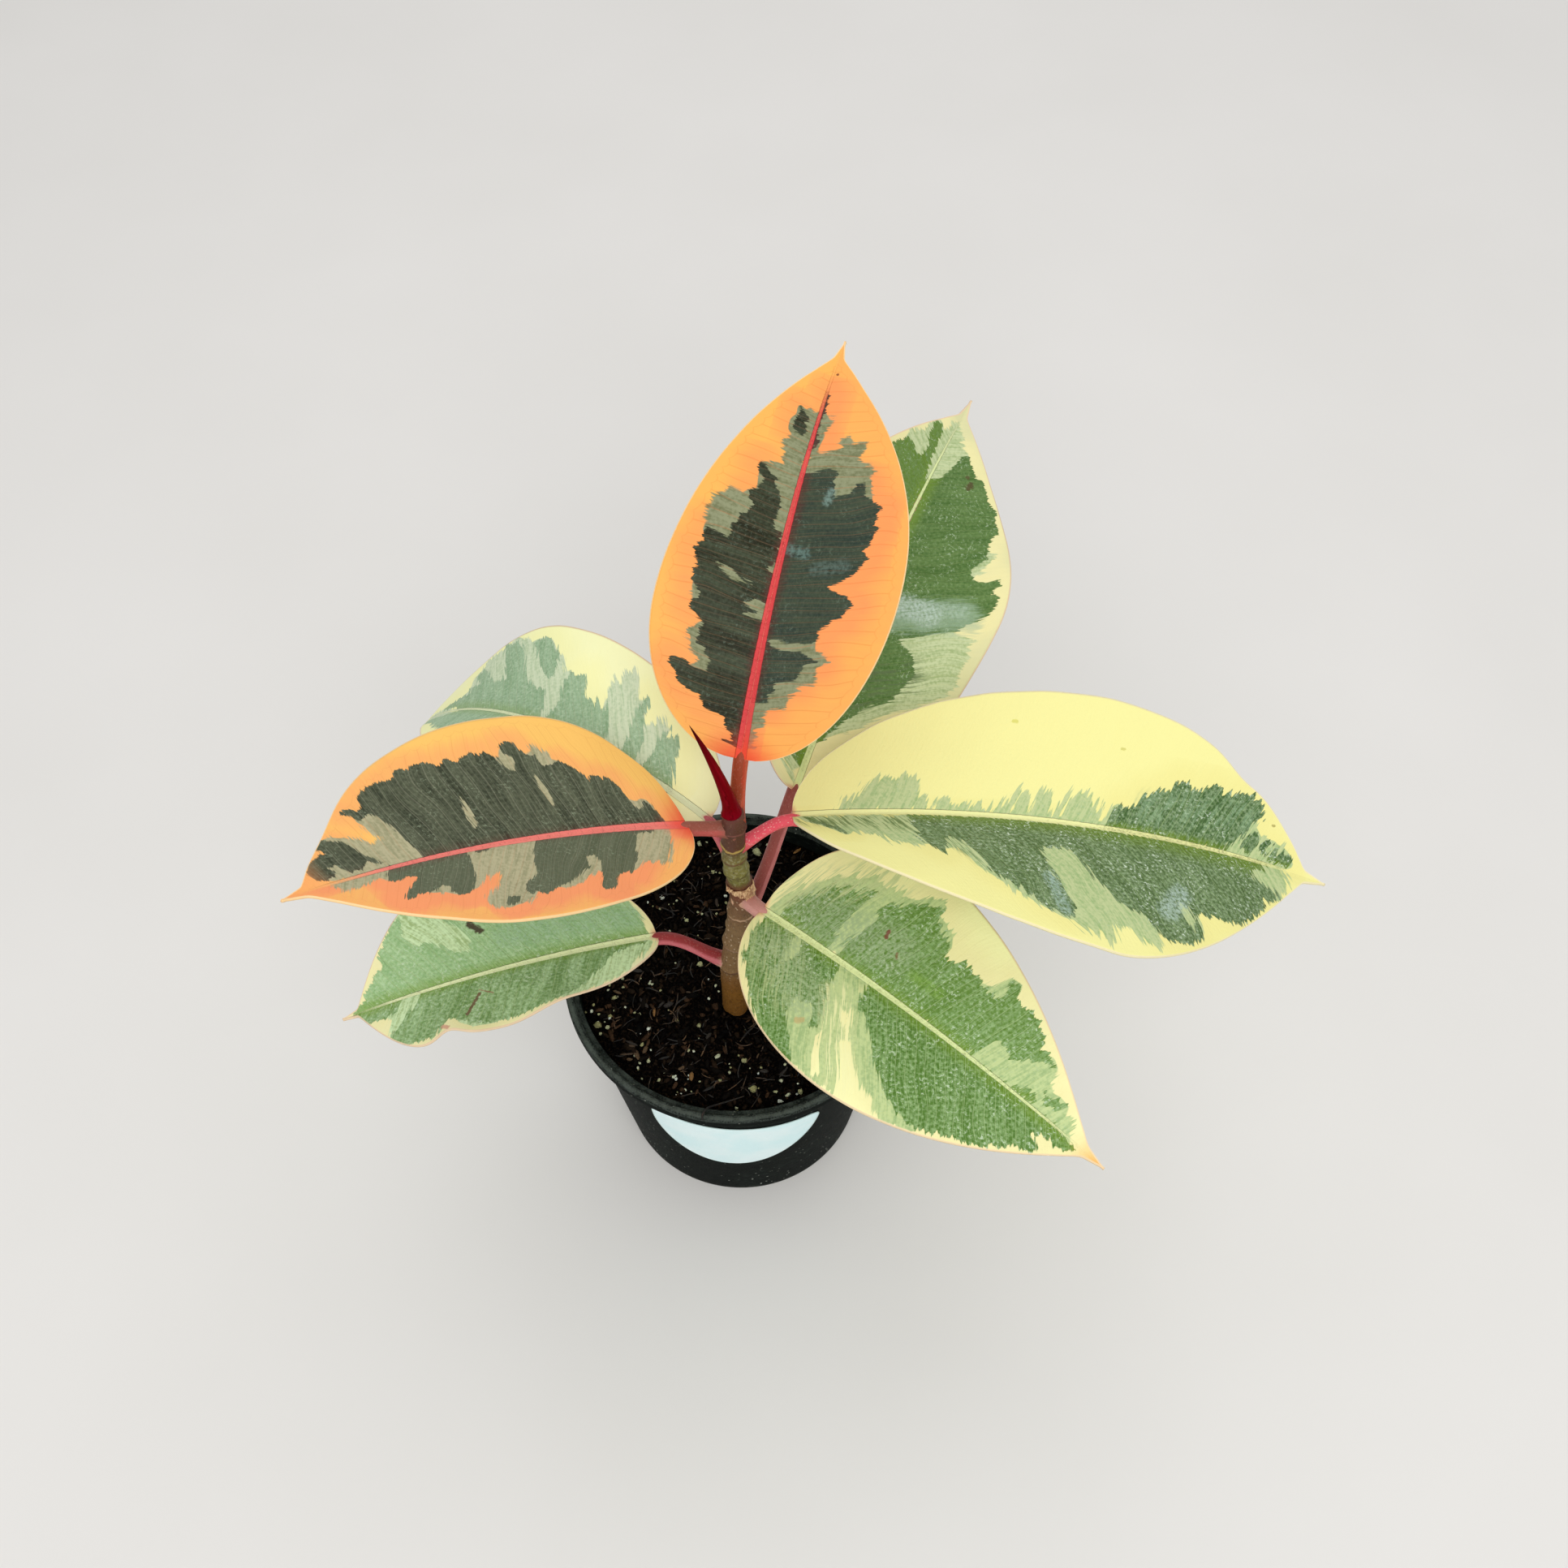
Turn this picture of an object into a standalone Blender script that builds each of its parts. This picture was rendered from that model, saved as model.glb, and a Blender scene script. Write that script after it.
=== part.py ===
"""Potted tineke rubber plant: seven variegated leaves on one woody stem, in a round nursery pot.

Metres, +Z up. The origin is the centre of the pot's bottom face, and -Y is the pot's front,
where its label is.
"""

import math
import random

import bmesh
import bpy
from mathutils import Vector, noise

MM = 0.001
GAP = 0.3

# Pot, in millimetres: a 4 inch nursery pot
POT_HEIGHT = 86.0
POT_BASE_RADIUS = 38.2
POT_WALL_TOP_RADIUS = 48.0
POT_WALL = 1.2
POT_FLOOR = 2.0
RIM_RADIUS = 51.0
RIM_SKIRT = 4.0
RIM_ROUND = 0.8
RIM_THICKNESS = 2.2
RIM_LEDGE = 1.0
RIM_LEDGE_WIDTH = 1.6
POT_BASE_ROUND = 1.5
DRAIN_HOLES = 6
DRAIN_RADIUS = 4.0
DRAIN_CIRCLE_RADIUS = 26.0
POT_STEPS = 48

# Label: half an ellipse with a straight top edge, wrapped on the wall
LABEL_HALF_WIDTH = 25.5
LABEL_HEIGHT = 38.0
LABEL_TOP = 71.5
LABEL_TILT = 4.0
LABEL_THICKNESS = 0.4
LABEL_CORNER = 3.0
LABEL_COLUMNS = 14
LABEL_ROWS = 8

# Soil
SOIL_TOP = 79.5
SOIL_RELIEF = 1.2
SOIL_LUMP_SIZE = 9.0
SOIL_CRUMB_SIZE = 3.5
SOIL_RINGS = 9
SOIL_STEPS = 32
GRAIN_COUNT = 44
GRAIN_RADII = (0.9, 1.9)
GRAIN_SEED = 11
GRAIN_RISE = 0.25
GRAIN_FREE_RADIUS = 7.5

# Stem: places of its centre line, with the radius there
STEM_FOOT = 55.0
STEM_Y = -11.6
STEM_LINE = (
    (-0.3, STEM_FOOT, 3.6),
    (-0.3, 80.0, 3.9),
    (-0.4, 92.0, 3.7),
    (-0.5, 104.0, 3.7),
    (0.6, 116.0, 3.5),
    (2.0, 130.0, 3.5),
    (3.0, 144.0, 3.4),
    (2.1, 152.0, 3.1),
    (1.3, 161.0, 3.0),
    (1.2, 168.0, 2.8),
    (1.4, 176.0, 2.9),
    (1.5, 184.0, 2.7),
)
STEM_TOP = 184.0
NODE_RINGS = (106.0, 119.0, 128.0, 143.0, 162.0, 167.0, 176.0)
NODE_RING_RISE = 0.4
NODE_RING_HEIGHT = 1.5
STEM_SIDES = 12

# Bud sheath at the stem's top
BUD_LENGTH = 37.0
BUD_RADIUS = 2.6
BUD_TAPER = 0.75
BUD_SWELL = 0.25
BUD_LEAN = 13.0
BUD_BEND = 1.4
BUD_BEARING = 185.0
BUD_OFFSET = (-0.4, -0.5, 0.0)
BUD_STEPS = 12
BUD_ROWS = 7

# Leaves: shared values
BLADE_THICKNESS = 0.8
BLADE_STATIONS = 20
BLADE_COLUMNS = 8
DRIP_TIP_START = 0.955
DRIP_TIP_WIDTH = 0.075
LEAST_HALF_WIDTH = 0.5
MIDRIB_STEPS = 60
MIDRIB_END = 0.93
MIDRIB_POINTS = 12
MIDRIB_SINK = 0.85
MIDRIB_TAPER = 0.78
STALK_POINTS = 7
STALK_SIDES = 8
STALK_FLARE = 0.25
STALK_LIFT = 0.3

# Each leaf's own values, in millimetres and degrees. Bearings turn from +X toward +Y.
# stalk: height on the stem, then reach, bearing and rise to the blade's base, and its radius.
# line: the midrib's length, bearing and slope at the base, then droop and sway on the way to the tip.
# turn: roll about the midrib at the base, and what twist adds up to the tip.
# left and right: half width, place of the widest point, fullness beyond it, fold and cup.
# notch: side, place, depth and length of a dent in the edge. wave: side, height, count and phase.
LEAVES = {
    "leaf_top": dict(
        stalk=(180.0, 7.7, 76.0, 15.0, 1.9), line=(109.0, 76.0, 48.5, 43.5, -3.0), turn=(3.0, 3.0),
        left=(27.3, 0.31, 1.9, 8.0, -1.0), right=(30.0, 0.43, 2.1, 7.0, 0.0),
        notch=None, wave=None),
    "leaf_left": dict(
        stalk=(176.0, 11.1, 192.0, 5.6, 1.9), line=(107.5, 203.5, 30.5, 1.0, 21.0), turn=(5.0, 0.0),
        left=(27.3, 0.50, 2.2, 3.0, 8.0), right=(37.0, 0.31, 2.35, 1.0, 12.0),
        notch=("right", 0.85, 0.10, 0.08), wave=None),
    "leaf_rear_right": dict(
        stalk=(128.0, 27.0, 57.0, 30.4, 1.8), line=(133.0, 69.0, 20.0, 19.5, -4.5), turn=(25.0, 1.0),
        left=(26.7, 0.50, 1.8, 12.5, 1.0), right=(35.0, 0.50, 2.0, 5.5, 3.5),
        notch=None, wave=("right", 2.2, 2.0, 0.3)),
    "leaf_right": dict(
        stalk=(167.0, 15.1, 16.0, 8.5, 1.6), line=(145.0, 362.5, 3.0, 31.0, -6.5), turn=(-25.0, 40.0),
        left=(37.3, 0.44, 2.5, 13.5, 1.5), right=(43.5, 0.51, 1.65, 19.0, -17.0),
        notch=("left", 0.80, 0.07, 0.035), wave=None),
    "leaf_front_right": dict(
        stalk=(143.0, 8.8, 305.0, 5.7, 2.2), line=(107.5, 318.5, 12.5, 24.0, 1.0), turn=(8.5, 0.0),
        left=(32.6, 0.28, 1.8, 12.0, 3.0), right=(30.0, 0.40, 2.0, 10.0, 1.0),
        notch=None, wave=None),
    "leaf_rear_left": dict(
        stalk=(162.0, 8.2, 137.0, 8.9, 1.7), line=(117.0, 146.5, 21.0, 81.5, 2.0), turn=(1.0, 2.0),
        left=(26.1, 0.42, 1.7, 4.0, 0.0), right=(30.6, 0.57, 2.2, 3.5, 10.0),
        notch=None, wave=None),
    "leaf_lower_left": dict(
        stalk=(106.0, 20.5, 176.0, 12.7, 1.8), line=(86.5, 198.0, 14.0, 21.5, 1.5), turn=(6.5, -3.5),
        left=(19.4, 0.70, 2.3, 10.0, -1.0), right=(29.9, 0.59, 2.1, 8.0, 4.0),
        notch=("left", 0.70, 0.16, 0.05), wave=("left", 1.6, 3.0, 1.2)),
}

# Colours as base colour, roughness
FINISHES = {
    "pot": ((0.020, 0.028, 0.025), 0.45),
    "label": ((0.75, 0.88, 0.84), 0.55),
    "soil": ((0.018, 0.012, 0.009), 0.95),
    "stem": ((0.20, 0.12, 0.07), 0.80),
    "bud_sheath": ((0.30, 0.010, 0.030), 0.40),
    "leaf_top": ((0.90, 0.33, 0.12), 0.42),
    "leaf_left": ((0.90, 0.33, 0.12), 0.42),
    "leaf_rear_right": ((0.12, 0.26, 0.09), 0.42),
    "leaf_right": ((0.85, 0.78, 0.38), 0.42),
    "leaf_front_right": ((0.16, 0.30, 0.10), 0.42),
    "leaf_rear_left": ((0.80, 0.76, 0.45), 0.42),
    "leaf_lower_left": ((0.20, 0.33, 0.17), 0.42),
}


def clear_scene():
    for old in list(bpy.data.objects):
        bpy.data.objects.remove(old, do_unlink=True)


def new_collection(name):
    collection = bpy.data.collections.new(name)
    bpy.context.scene.collection.children.link(collection)
    return collection


def finish_material(name):
    colour, roughness = FINISHES[name]
    material = bpy.data.materials.new(name)
    material.use_nodes = True
    shader = material.node_tree.nodes["Principled BSDF"]
    shader.inputs["Base Color"].default_value = (*colour, 1.0)
    shader.inputs["Roughness"].default_value = roughness
    shader.inputs["Metallic"].default_value = 0.0
    return material


def object_from_bmesh(name, bm, collection):
    """A mesh object in metres from a bmesh that was shaped in millimetres."""
    bmesh.ops.scale(bm, vec=(MM, MM, MM), verts=bm.verts)
    mesh = bpy.data.meshes.new(name)
    bm.to_mesh(mesh)
    bm.free()
    thing = bpy.data.objects.new(name, mesh)
    collection.objects.link(thing)
    return thing


def apply_modifiers(thing):
    """Keep the evaluated shape as the object's own mesh."""
    graph = bpy.context.evaluated_depsgraph_get()
    mesh = bpy.data.meshes.new_from_object(thing.evaluated_get(graph))
    thing.modifiers.clear()
    thing.data = mesh


def weld(thing, distance=0.0001):
    bm = bmesh.new()
    bm.from_mesh(thing.data)
    bmesh.ops.remove_doubles(bm, verts=bm.verts, dist=distance)
    bm.to_mesh(thing.data)
    bm.free()


def tube(name, points, radii, collection, sides):
    """A closed tube along points in millimetres, with a radius at each point."""
    curve = bpy.data.curves.new(name, "CURVE")
    curve.dimensions = "3D"
    curve.bevel_depth = MM
    curve.bevel_resolution = sides // 2 - 2
    curve.use_fill_caps = True
    spline = curve.splines.new("POLY")
    spline.points.add(len(points) - 1)
    for place, point, radius in zip(spline.points, points, radii):
        place.co = (*(Vector(point) * MM), 1.0)
        place.radius = radius
    guide = bpy.data.objects.new(name + "_line", curve)
    collection.objects.link(guide)
    bpy.context.view_layer.update()
    graph = bpy.context.evaluated_depsgraph_get()
    mesh = bpy.data.meshes.new_from_object(guide.evaluated_get(graph))
    thing = bpy.data.objects.new(name, mesh)
    thing.matrix_world = guide.matrix_world
    collection.objects.link(thing)
    bpy.data.objects.remove(guide, do_unlink=True)
    weld(thing)
    return thing


def boolean(thing, other, operation, solver="EXACT"):
    """Join another object or collection to the thing, or cut it from the thing, for good.

    The MANIFOLD solver is for a thin blade and its stalk, which EXACT can lose.
    """
    step = thing.modifiers.new(operation.title(), "BOOLEAN")
    step.operation = operation
    step.solver = solver
    if isinstance(other, bpy.types.Collection):
        step.operand_type = "COLLECTION"
        step.collection = other
    else:
        step.object = other
    bpy.context.view_layer.update()
    apply_modifiers(thing)


def move_to(thing, collection):
    """Take an object out of its collections and put it in one."""
    for holder in list(thing.users_collection):
        holder.objects.unlink(thing)
    collection.objects.link(thing)


def hide_cutter(cutter):
    cutter.hide_render = True
    cutter.display_type = "WIRE"


def smooth(thing, degrees=40.0):
    thing.data.shade_smooth()
    thing.data.set_sharp_from_angle(angle=math.radians(degrees))


def wall_radius(height):
    """The pot wall's outer radius at a height."""
    share = height / (POT_HEIGHT - RIM_SKIRT)
    return POT_BASE_RADIUS + (POT_WALL_TOP_RADIUS - POT_BASE_RADIUS) * share


def turned(name, profile, collection, steps):
    """An open profile from axis to axis in the XZ plane, turned about Z by a Screw modifier."""
    bm = bmesh.new()
    corners = [bm.verts.new((radius, 0.0, height)) for radius, height in profile]
    for first, second in zip(corners, corners[1:]):
        bm.edges.new((first, second))
    thing = object_from_bmesh(name, bm, collection)
    screw = thing.modifiers.new("Turn", "SCREW")
    screw.steps = steps
    screw.render_steps = steps
    screw.use_merge_vertices = True
    screw.merge_threshold = 0.001 * MM
    return thing


def make_pot(parts, cutters):
    """A turned wall and floor with a rolled rim, and drain holes in a ring through the floor."""
    inside = wall_radius(POT_HEIGHT) - POT_WALL
    skirt_foot = POT_HEIGHT - RIM_SKIRT
    profile = (
        (0.0, POT_FLOOR),
        (wall_radius(POT_FLOOR) - POT_WALL, POT_FLOOR),
        (inside, POT_HEIGHT - RIM_LEDGE),
        (inside + RIM_LEDGE_WIDTH, POT_HEIGHT - RIM_LEDGE),
        (inside + RIM_LEDGE_WIDTH, POT_HEIGHT),
        (RIM_RADIUS - RIM_ROUND, POT_HEIGHT),
        (RIM_RADIUS, POT_HEIGHT - RIM_ROUND),
        (RIM_RADIUS, skirt_foot),
        (RIM_RADIUS - POT_WALL, skirt_foot),
        (RIM_RADIUS - POT_WALL, POT_HEIGHT - RIM_THICKNESS),
        (wall_radius(POT_HEIGHT - RIM_THICKNESS), POT_HEIGHT - RIM_THICKNESS),
        (wall_radius(POT_BASE_ROUND), POT_BASE_ROUND),
        (POT_BASE_RADIUS - POT_BASE_ROUND, 0.0),
        (0.0, 0.0),
    )
    pot = turned("pot", profile, parts, POT_STEPS)
    for index in range(DRAIN_HOLES):
        bearing = math.tau * (index + 0.5) / DRAIN_HOLES
        place = Vector((math.cos(bearing), math.sin(bearing), 0.0)) * DRAIN_CIRCLE_RADIUS * MM
        bpy.ops.mesh.primitive_cylinder_add(
            vertices=16, radius=DRAIN_RADIUS * MM, depth=4 * POT_FLOOR * MM, location=place)
        cutter = bpy.context.object
        cutter.name = f"drain_hole_{index + 1}"
        move_to(cutter, cutters)
        boolean(pot, cutter, "DIFFERENCE")
    return pot


def label_half_width(depth):
    """Half the label's width at a depth below its straight top edge: an ellipse, corners rounded."""
    width = LABEL_HALF_WIDTH * math.sqrt(1.0 - (depth / LABEL_HEIGHT) ** 2)
    if depth < LABEL_CORNER:
        width -= LABEL_CORNER - math.sqrt(LABEL_CORNER**2 - (LABEL_CORNER - depth) ** 2)
    return width


def make_label(parts):
    """A thin sheet in the label's outline, tilted a little and wrapped round the front of the wall."""
    bm = bmesh.new()
    bmesh.ops.create_grid(bm, x_segments=LABEL_COLUMNS, y_segments=LABEL_ROWS, size=1.0)
    tilt = math.radians(LABEL_TILT)
    for vert in bm.verts:
        share = (1.0 - vert.co.y) / 2.0
        depth = LABEL_HEIGHT * math.sin(share * math.pi / 2.0 * 0.95)
        across = vert.co.x * label_half_width(depth)
        along = across * math.cos(tilt) - depth * math.sin(tilt)
        height = LABEL_TOP - depth * math.cos(tilt) - across * math.sin(tilt)
        radius = wall_radius(height) + GAP
        bearing = along / radius
        vert.co = (radius * math.sin(bearing), -radius * math.cos(bearing), height)
    bmesh.ops.triangulate(bm, faces=bm.faces)
    label = object_from_bmesh("label", bm, parts)
    sheet = label.modifiers.new("Sheet", "SOLIDIFY")
    sheet.thickness = LABEL_THICKNESS * MM
    sheet.offset = 1.0
    return label


def soil_height(x, y):
    """The soil's surface at a place: lumps that fade out at the wall."""
    reach = min(1.0, math.hypot(x, y) / (wall_radius(SOIL_TOP) - POT_WALL))
    lump = noise.noise(Vector((x, y, 0.0)) / SOIL_LUMP_SIZE)
    crumb = noise.noise(Vector((x, y, 9.0)) / SOIL_CRUMB_SIZE)
    return SOIL_TOP + (lump + 0.5 * crumb) * SOIL_RELIEF * (1.0 - reach**6)


def grain_places(edge):
    """Places, radii and turns of the grains: drawn at random, clear of the stem and of each other."""
    draw = random.Random(GRAIN_SEED)
    found = []
    while len(found) < GRAIN_COUNT:
        radius = draw.uniform(*GRAIN_RADII)
        distance = (edge - 2.0 * radius) * math.sqrt(draw.random())
        bearing = draw.uniform(0.0, math.tau)
        x = distance * math.cos(bearing)
        y = distance * math.sin(bearing)
        turn = (draw.uniform(0.0, math.pi), draw.uniform(0.0, math.pi), 0.0)
        place = Vector((x, y, soil_height(x, y) + GRAIN_RISE * radius))
        crowded = any((place - other).length < radius + size + GAP for other, size, _ in found)
        if crowded or math.hypot(x, y - STEM_Y) < GRAIN_FREE_RADIUS:
            continue
        found.append((place, radius, turn))
    return found


def make_soil(parts, cutters, grains):
    """A tapered plug of soil with a lumpy top, pale grains sunk in it, and a plain hole for the stem."""
    foot = POT_FLOOR + GAP
    clearance = POT_WALL + GAP
    edge = wall_radius(SOIL_TOP) - clearance
    profile = [(edge * ring / SOIL_RINGS, SOIL_TOP) for ring in range(SOIL_RINGS + 1)]
    profile += [(wall_radius(foot) - clearance, foot), (0.0, foot)]
    soil = turned("soil", profile, parts, SOIL_STEPS)
    apply_modifiers(soil)
    for vert in soil.data.vertices:
        x, y, z = vert.co / MM
        if z > SOIL_TOP - GAP:
            vert.co.z = soil_height(x, y) * MM

    for index, (place, radius, turn) in enumerate(grain_places(edge)):
        bpy.ops.mesh.primitive_ico_sphere_add(
            subdivisions=1, radius=radius * MM, location=place * MM, rotation=turn)
        grain = bpy.context.object
        grain.name = f"grain_{index + 1}"
        move_to(grain, grains)
    boolean(soil, grains, "UNION")
    for grain in list(grains.objects):
        bpy.data.objects.remove(grain, do_unlink=True)

    hole = stem_tube("stem_hole", GAP, cutters)
    boolean(soil, hole, "DIFFERENCE")
    hide_cutter(hole)
    return soil


def along_line(places, height):
    """The values between two rows of a line at a height, eased so the line has no corners."""
    rows = list(places)
    for low, high in zip(rows, rows[1:]):
        if height <= high[1]:
            share = (height - low[1]) / (high[1] - low[1])
            share = share * share * (3.0 - 2.0 * share)
            return (low[0] + (high[0] - low[0]) * share, low[2] + (high[2] - low[2]) * share)
    return rows[-1][0], rows[-1][2]


def stem_axis(height):
    return Vector((along_line(STEM_LINE, height)[0], STEM_Y, height))


def stem_radius(height):
    """The stem's radius, with a low ring at each node."""
    ring = sum(math.exp(-((height - node) / NODE_RING_HEIGHT) ** 2) for node in NODE_RINGS)
    return along_line(STEM_LINE, height)[1] + NODE_RING_RISE * min(1.0, ring)


def stem_heights():
    """Heights of the stem's cross sections: three on each ring, and the line's own where it is plain."""
    steps = (-NODE_RING_HEIGHT, 0.0, NODE_RING_HEIGHT)
    rings = [node + step for node in NODE_RINGS for step in steps]
    plain = [row[1] for row in STEM_LINE if min(abs(row[1] - ring) for ring in rings) > NODE_RING_HEIGHT]
    return sorted(rings + plain)


def stem_tube(name, extra, collection):
    """The stem's shape, fattened by an extra that its ends reach past too."""
    heights = stem_heights()
    points = [stem_axis(height) for height in heights]
    points[0].z -= extra
    points[-1].z += extra
    radii = [stem_radius(height) + extra for height in heights]
    return tube(name, points, radii, collection, STEM_SIDES)


def make_bud(parts, name="bud_sheath", extra=0.0):
    """A slender pointed sheath on the stem's top that leans further over toward its tip."""
    profile = [(0.0, BUD_LENGTH + extra)]
    for row in range(1, BUD_ROWS):
        share = 1.0 - row / BUD_ROWS
        radius = BUD_RADIUS * (1.0 - share) ** BUD_TAPER * (1.0 + BUD_SWELL * share)
        profile.append((radius + extra, BUD_LENGTH * share))
    profile.append((BUD_RADIUS + extra, -extra))
    profile.append((0.0, -extra))
    bud = turned(name, profile, parts, BUD_STEPS)
    apply_modifiers(bud)
    lean = BUD_LENGTH * math.tan(math.radians(BUD_LEAN))
    bearing = math.radians(BUD_BEARING)
    foot = stem_axis(STEM_TOP) + Vector(BUD_OFFSET) + Vector((0.0, 0.0, GAP))
    for vert in bud.data.vertices:
        share = max(0.0, vert.co.z / MM / BUD_LENGTH)
        shift = lean * share**BUD_BEND
        vert.co += (foot + Vector((math.cos(bearing), math.sin(bearing), 0.0)) * shift) * MM
    return bud


class Leaf:
    """Places on one leaf, worked out from its driving values."""

    def __init__(self, stalk, line, turn, left, right, notch, wave):
        self.node_height, reach, bearing, rise, self.stalk_radius = stalk
        self.length, self.bearing, self.slope, self.droop, self.sway = line
        self.roll, self.twist = turn
        self.halves = {"left": left, "right": right}
        self.notch = notch
        self.wave = wave
        self.root = stem_axis(self.node_height)
        out = Vector((math.cos(math.radians(bearing)), math.sin(math.radians(bearing)), 0.0))
        self.base = self.root + out * reach + Vector((0.0, 0.0, rise))
        self.midrib = self.walk_midrib()

    def axes(self, share):
        """Directions at a share of the length: along the midrib, to the left edge, and up."""
        bearing = math.radians(self.bearing + self.sway * share)
        slope = math.radians(self.slope - self.droop * share)
        roll = math.radians(self.roll + self.twist * share)
        along = Vector((
            math.cos(slope) * math.cos(bearing), math.cos(slope) * math.sin(bearing), math.sin(slope)))
        level = Vector((-math.sin(bearing), math.cos(bearing), 0.0))
        upright = along.cross(level)
        side = level * math.cos(roll) + upright * math.sin(roll)
        up = upright * math.cos(roll) - level * math.sin(roll)
        return along, side, up

    def walk_midrib(self):
        """The midrib's points, found by short steps from the blade's base."""
        points = [self.base]
        for step in range(MIDRIB_STEPS):
            along = self.axes((step + 0.5) / MIDRIB_STEPS)[0]
            points.append(points[-1] + along * (self.length / MIDRIB_STEPS))
        return points

    def midrib_point(self, share):
        place = min(share * MIDRIB_STEPS, MIDRIB_STEPS - 1e-6)
        step = int(place)
        return self.midrib[step].lerp(self.midrib[step + 1], place - step)

    def half_width(self, share, half):
        """The blade's half width: a round base, a curve beyond the widest point, and a drip tip."""
        width, widest, fullness = self.halves[half][:3]
        if share < widest:
            body = math.sqrt(1.0 - ((widest - share) / widest) ** 2)
            drip = 0.0
        else:
            body = 1.0 - min(1.0, (share - widest) / (DRIP_TIP_START - widest)) ** fullness
            drip = DRIP_TIP_WIDTH * min(1.0, (1.0 - share) / (1.04 - DRIP_TIP_START))
        width *= (body**3 + drip**3) ** (1.0 / 3.0)
        if self.notch and self.notch[0] == half:
            _, place, depth, spread = self.notch
            width *= 1.0 - depth * math.exp(-(((share - place) / spread) ** 2))
        return max(width, LEAST_HALF_WIDTH)

    def place(self, share, across):
        """A point on the blade's upper face, with across from -1 at the right edge to 1 at the left."""
        half = "left" if across >= 0.0 else "right"
        _, side, up = self.axes(share)
        full_width, _, _, fold, cup = self.halves[half]
        distance = abs(across) * self.half_width(share, half)
        tilt = math.radians(fold + cup * distance / full_width / 2.0)
        point = self.midrib_point(share)
        point = point + side * math.copysign(distance * math.cos(tilt), across)
        point = point + up * (distance * math.sin(tilt))
        if self.wave and self.wave[0] == half:
            _, height, count, phase = self.wave
            swell = math.sin(math.tau * count * share + phase) * math.sin(math.pi * share)
            point = point + up * (height * across**2 * swell)
        return point

    def stalk_line(self):
        """Centre points and radii of the leaf stalk, then of the midrib under the blade."""
        radius = self.stalk_radius
        along, _, up = self.axes(0.0)
        end = self.base - up * (radius * MIDRIB_SINK)
        reach = (end - self.root).length / 3.0
        flat = Vector((end.x - self.root.x, end.y - self.root.y, 0.0)).normalized()
        first = self.root + (flat + Vector((0.0, 0.0, STALK_LIFT))).normalized() * reach
        second = end - along * reach
        points = []
        radii = []
        for index in range(STALK_POINTS):
            share = index / STALK_POINTS
            back = 1.0 - share
            points.append(
                self.root * back**3 + first * (3.0 * share * back**2)
                + second * (3.0 * share**2 * back) + end * share**3)
            radii.append(radius * (1.0 + STALK_FLARE * back**3))
        for index in range(MIDRIB_POINTS + 1):
            share = MIDRIB_END * index / MIDRIB_POINTS
            _, _, up = self.axes(share)
            rib = radius * (1.0 - MIDRIB_TAPER * (share / MIDRIB_END) ** 0.7)
            points.append(self.midrib_point(share) - up * (rib * MIDRIB_SINK))
            radii.append(rib)
        return points, radii


def make_leaf(name, values, parts, fat_neighbours):
    """A blade from a grid, given its thickness, joined to its stalk and cut clear of the stem."""
    leaf = Leaf(**values)
    bm = bmesh.new()
    bmesh.ops.create_grid(bm, x_segments=BLADE_STATIONS, y_segments=BLADE_COLUMNS, size=1.0)
    for vert in bm.verts:
        even = (vert.co.x + 1.0) / 2.0
        eased = 0.5 - 0.5 * math.cos(math.pi * even)
        vert.co = leaf.place((even + eased) / 2.0, vert.co.y)
    bmesh.ops.triangulate(bm, faces=bm.faces)
    blade = object_from_bmesh(name, bm, parts)
    thickness = blade.modifiers.new("Thickness", "SOLIDIFY")
    thickness.thickness = BLADE_THICKNESS * MM
    thickness.offset = -1.0
    apply_modifiers(blade)

    points, radii = leaf.stalk_line()
    stalk = tube(name + "_stalk", points, radii, parts, STALK_SIDES)
    boolean(blade, stalk, "UNION", "MANIFOLD")
    bpy.data.objects.remove(stalk, do_unlink=True)
    for neighbour in fat_neighbours:
        boolean(blade, neighbour, "DIFFERENCE", "MANIFOLD")
    return blade


def main():
    clear_scene()
    parts = new_collection("potted_tineke_rubber_plant")
    cutters = new_collection("cutters")
    grains = new_collection("soil_grains")

    make_pot(parts, cutters)
    make_label(parts)
    make_soil(parts, cutters, grains)
    bpy.data.collections.remove(grains)
    stem_tube("stem", 0.0, parts)
    make_bud(parts)

    fat_stem = stem_tube("stem_and_gap", GAP, cutters)
    fat_bud = make_bud(cutters, "bud_and_gap", GAP)
    for name, values in LEAVES.items():
        make_leaf(name, values, parts, (fat_stem, fat_bud))
    for cutter in cutters.objects:
        hide_cutter(cutter)

    for thing in parts.objects:
        thing.data.materials.clear()
        thing.data.materials.append(finish_material(thing.name))
        smooth(thing)


main()
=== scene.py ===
# %% [markdown]
# # A young rubber plant in its nursery pot
# This lesson dresses a measured model of a potted plant. The model gives every size and place,
# so nothing is fitted by eye here: a piece is built again, finer, from the same driving values,
# and it lands where the plain one was. The order is the plant's own: leaves, stem, bud, soil, pot.

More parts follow.
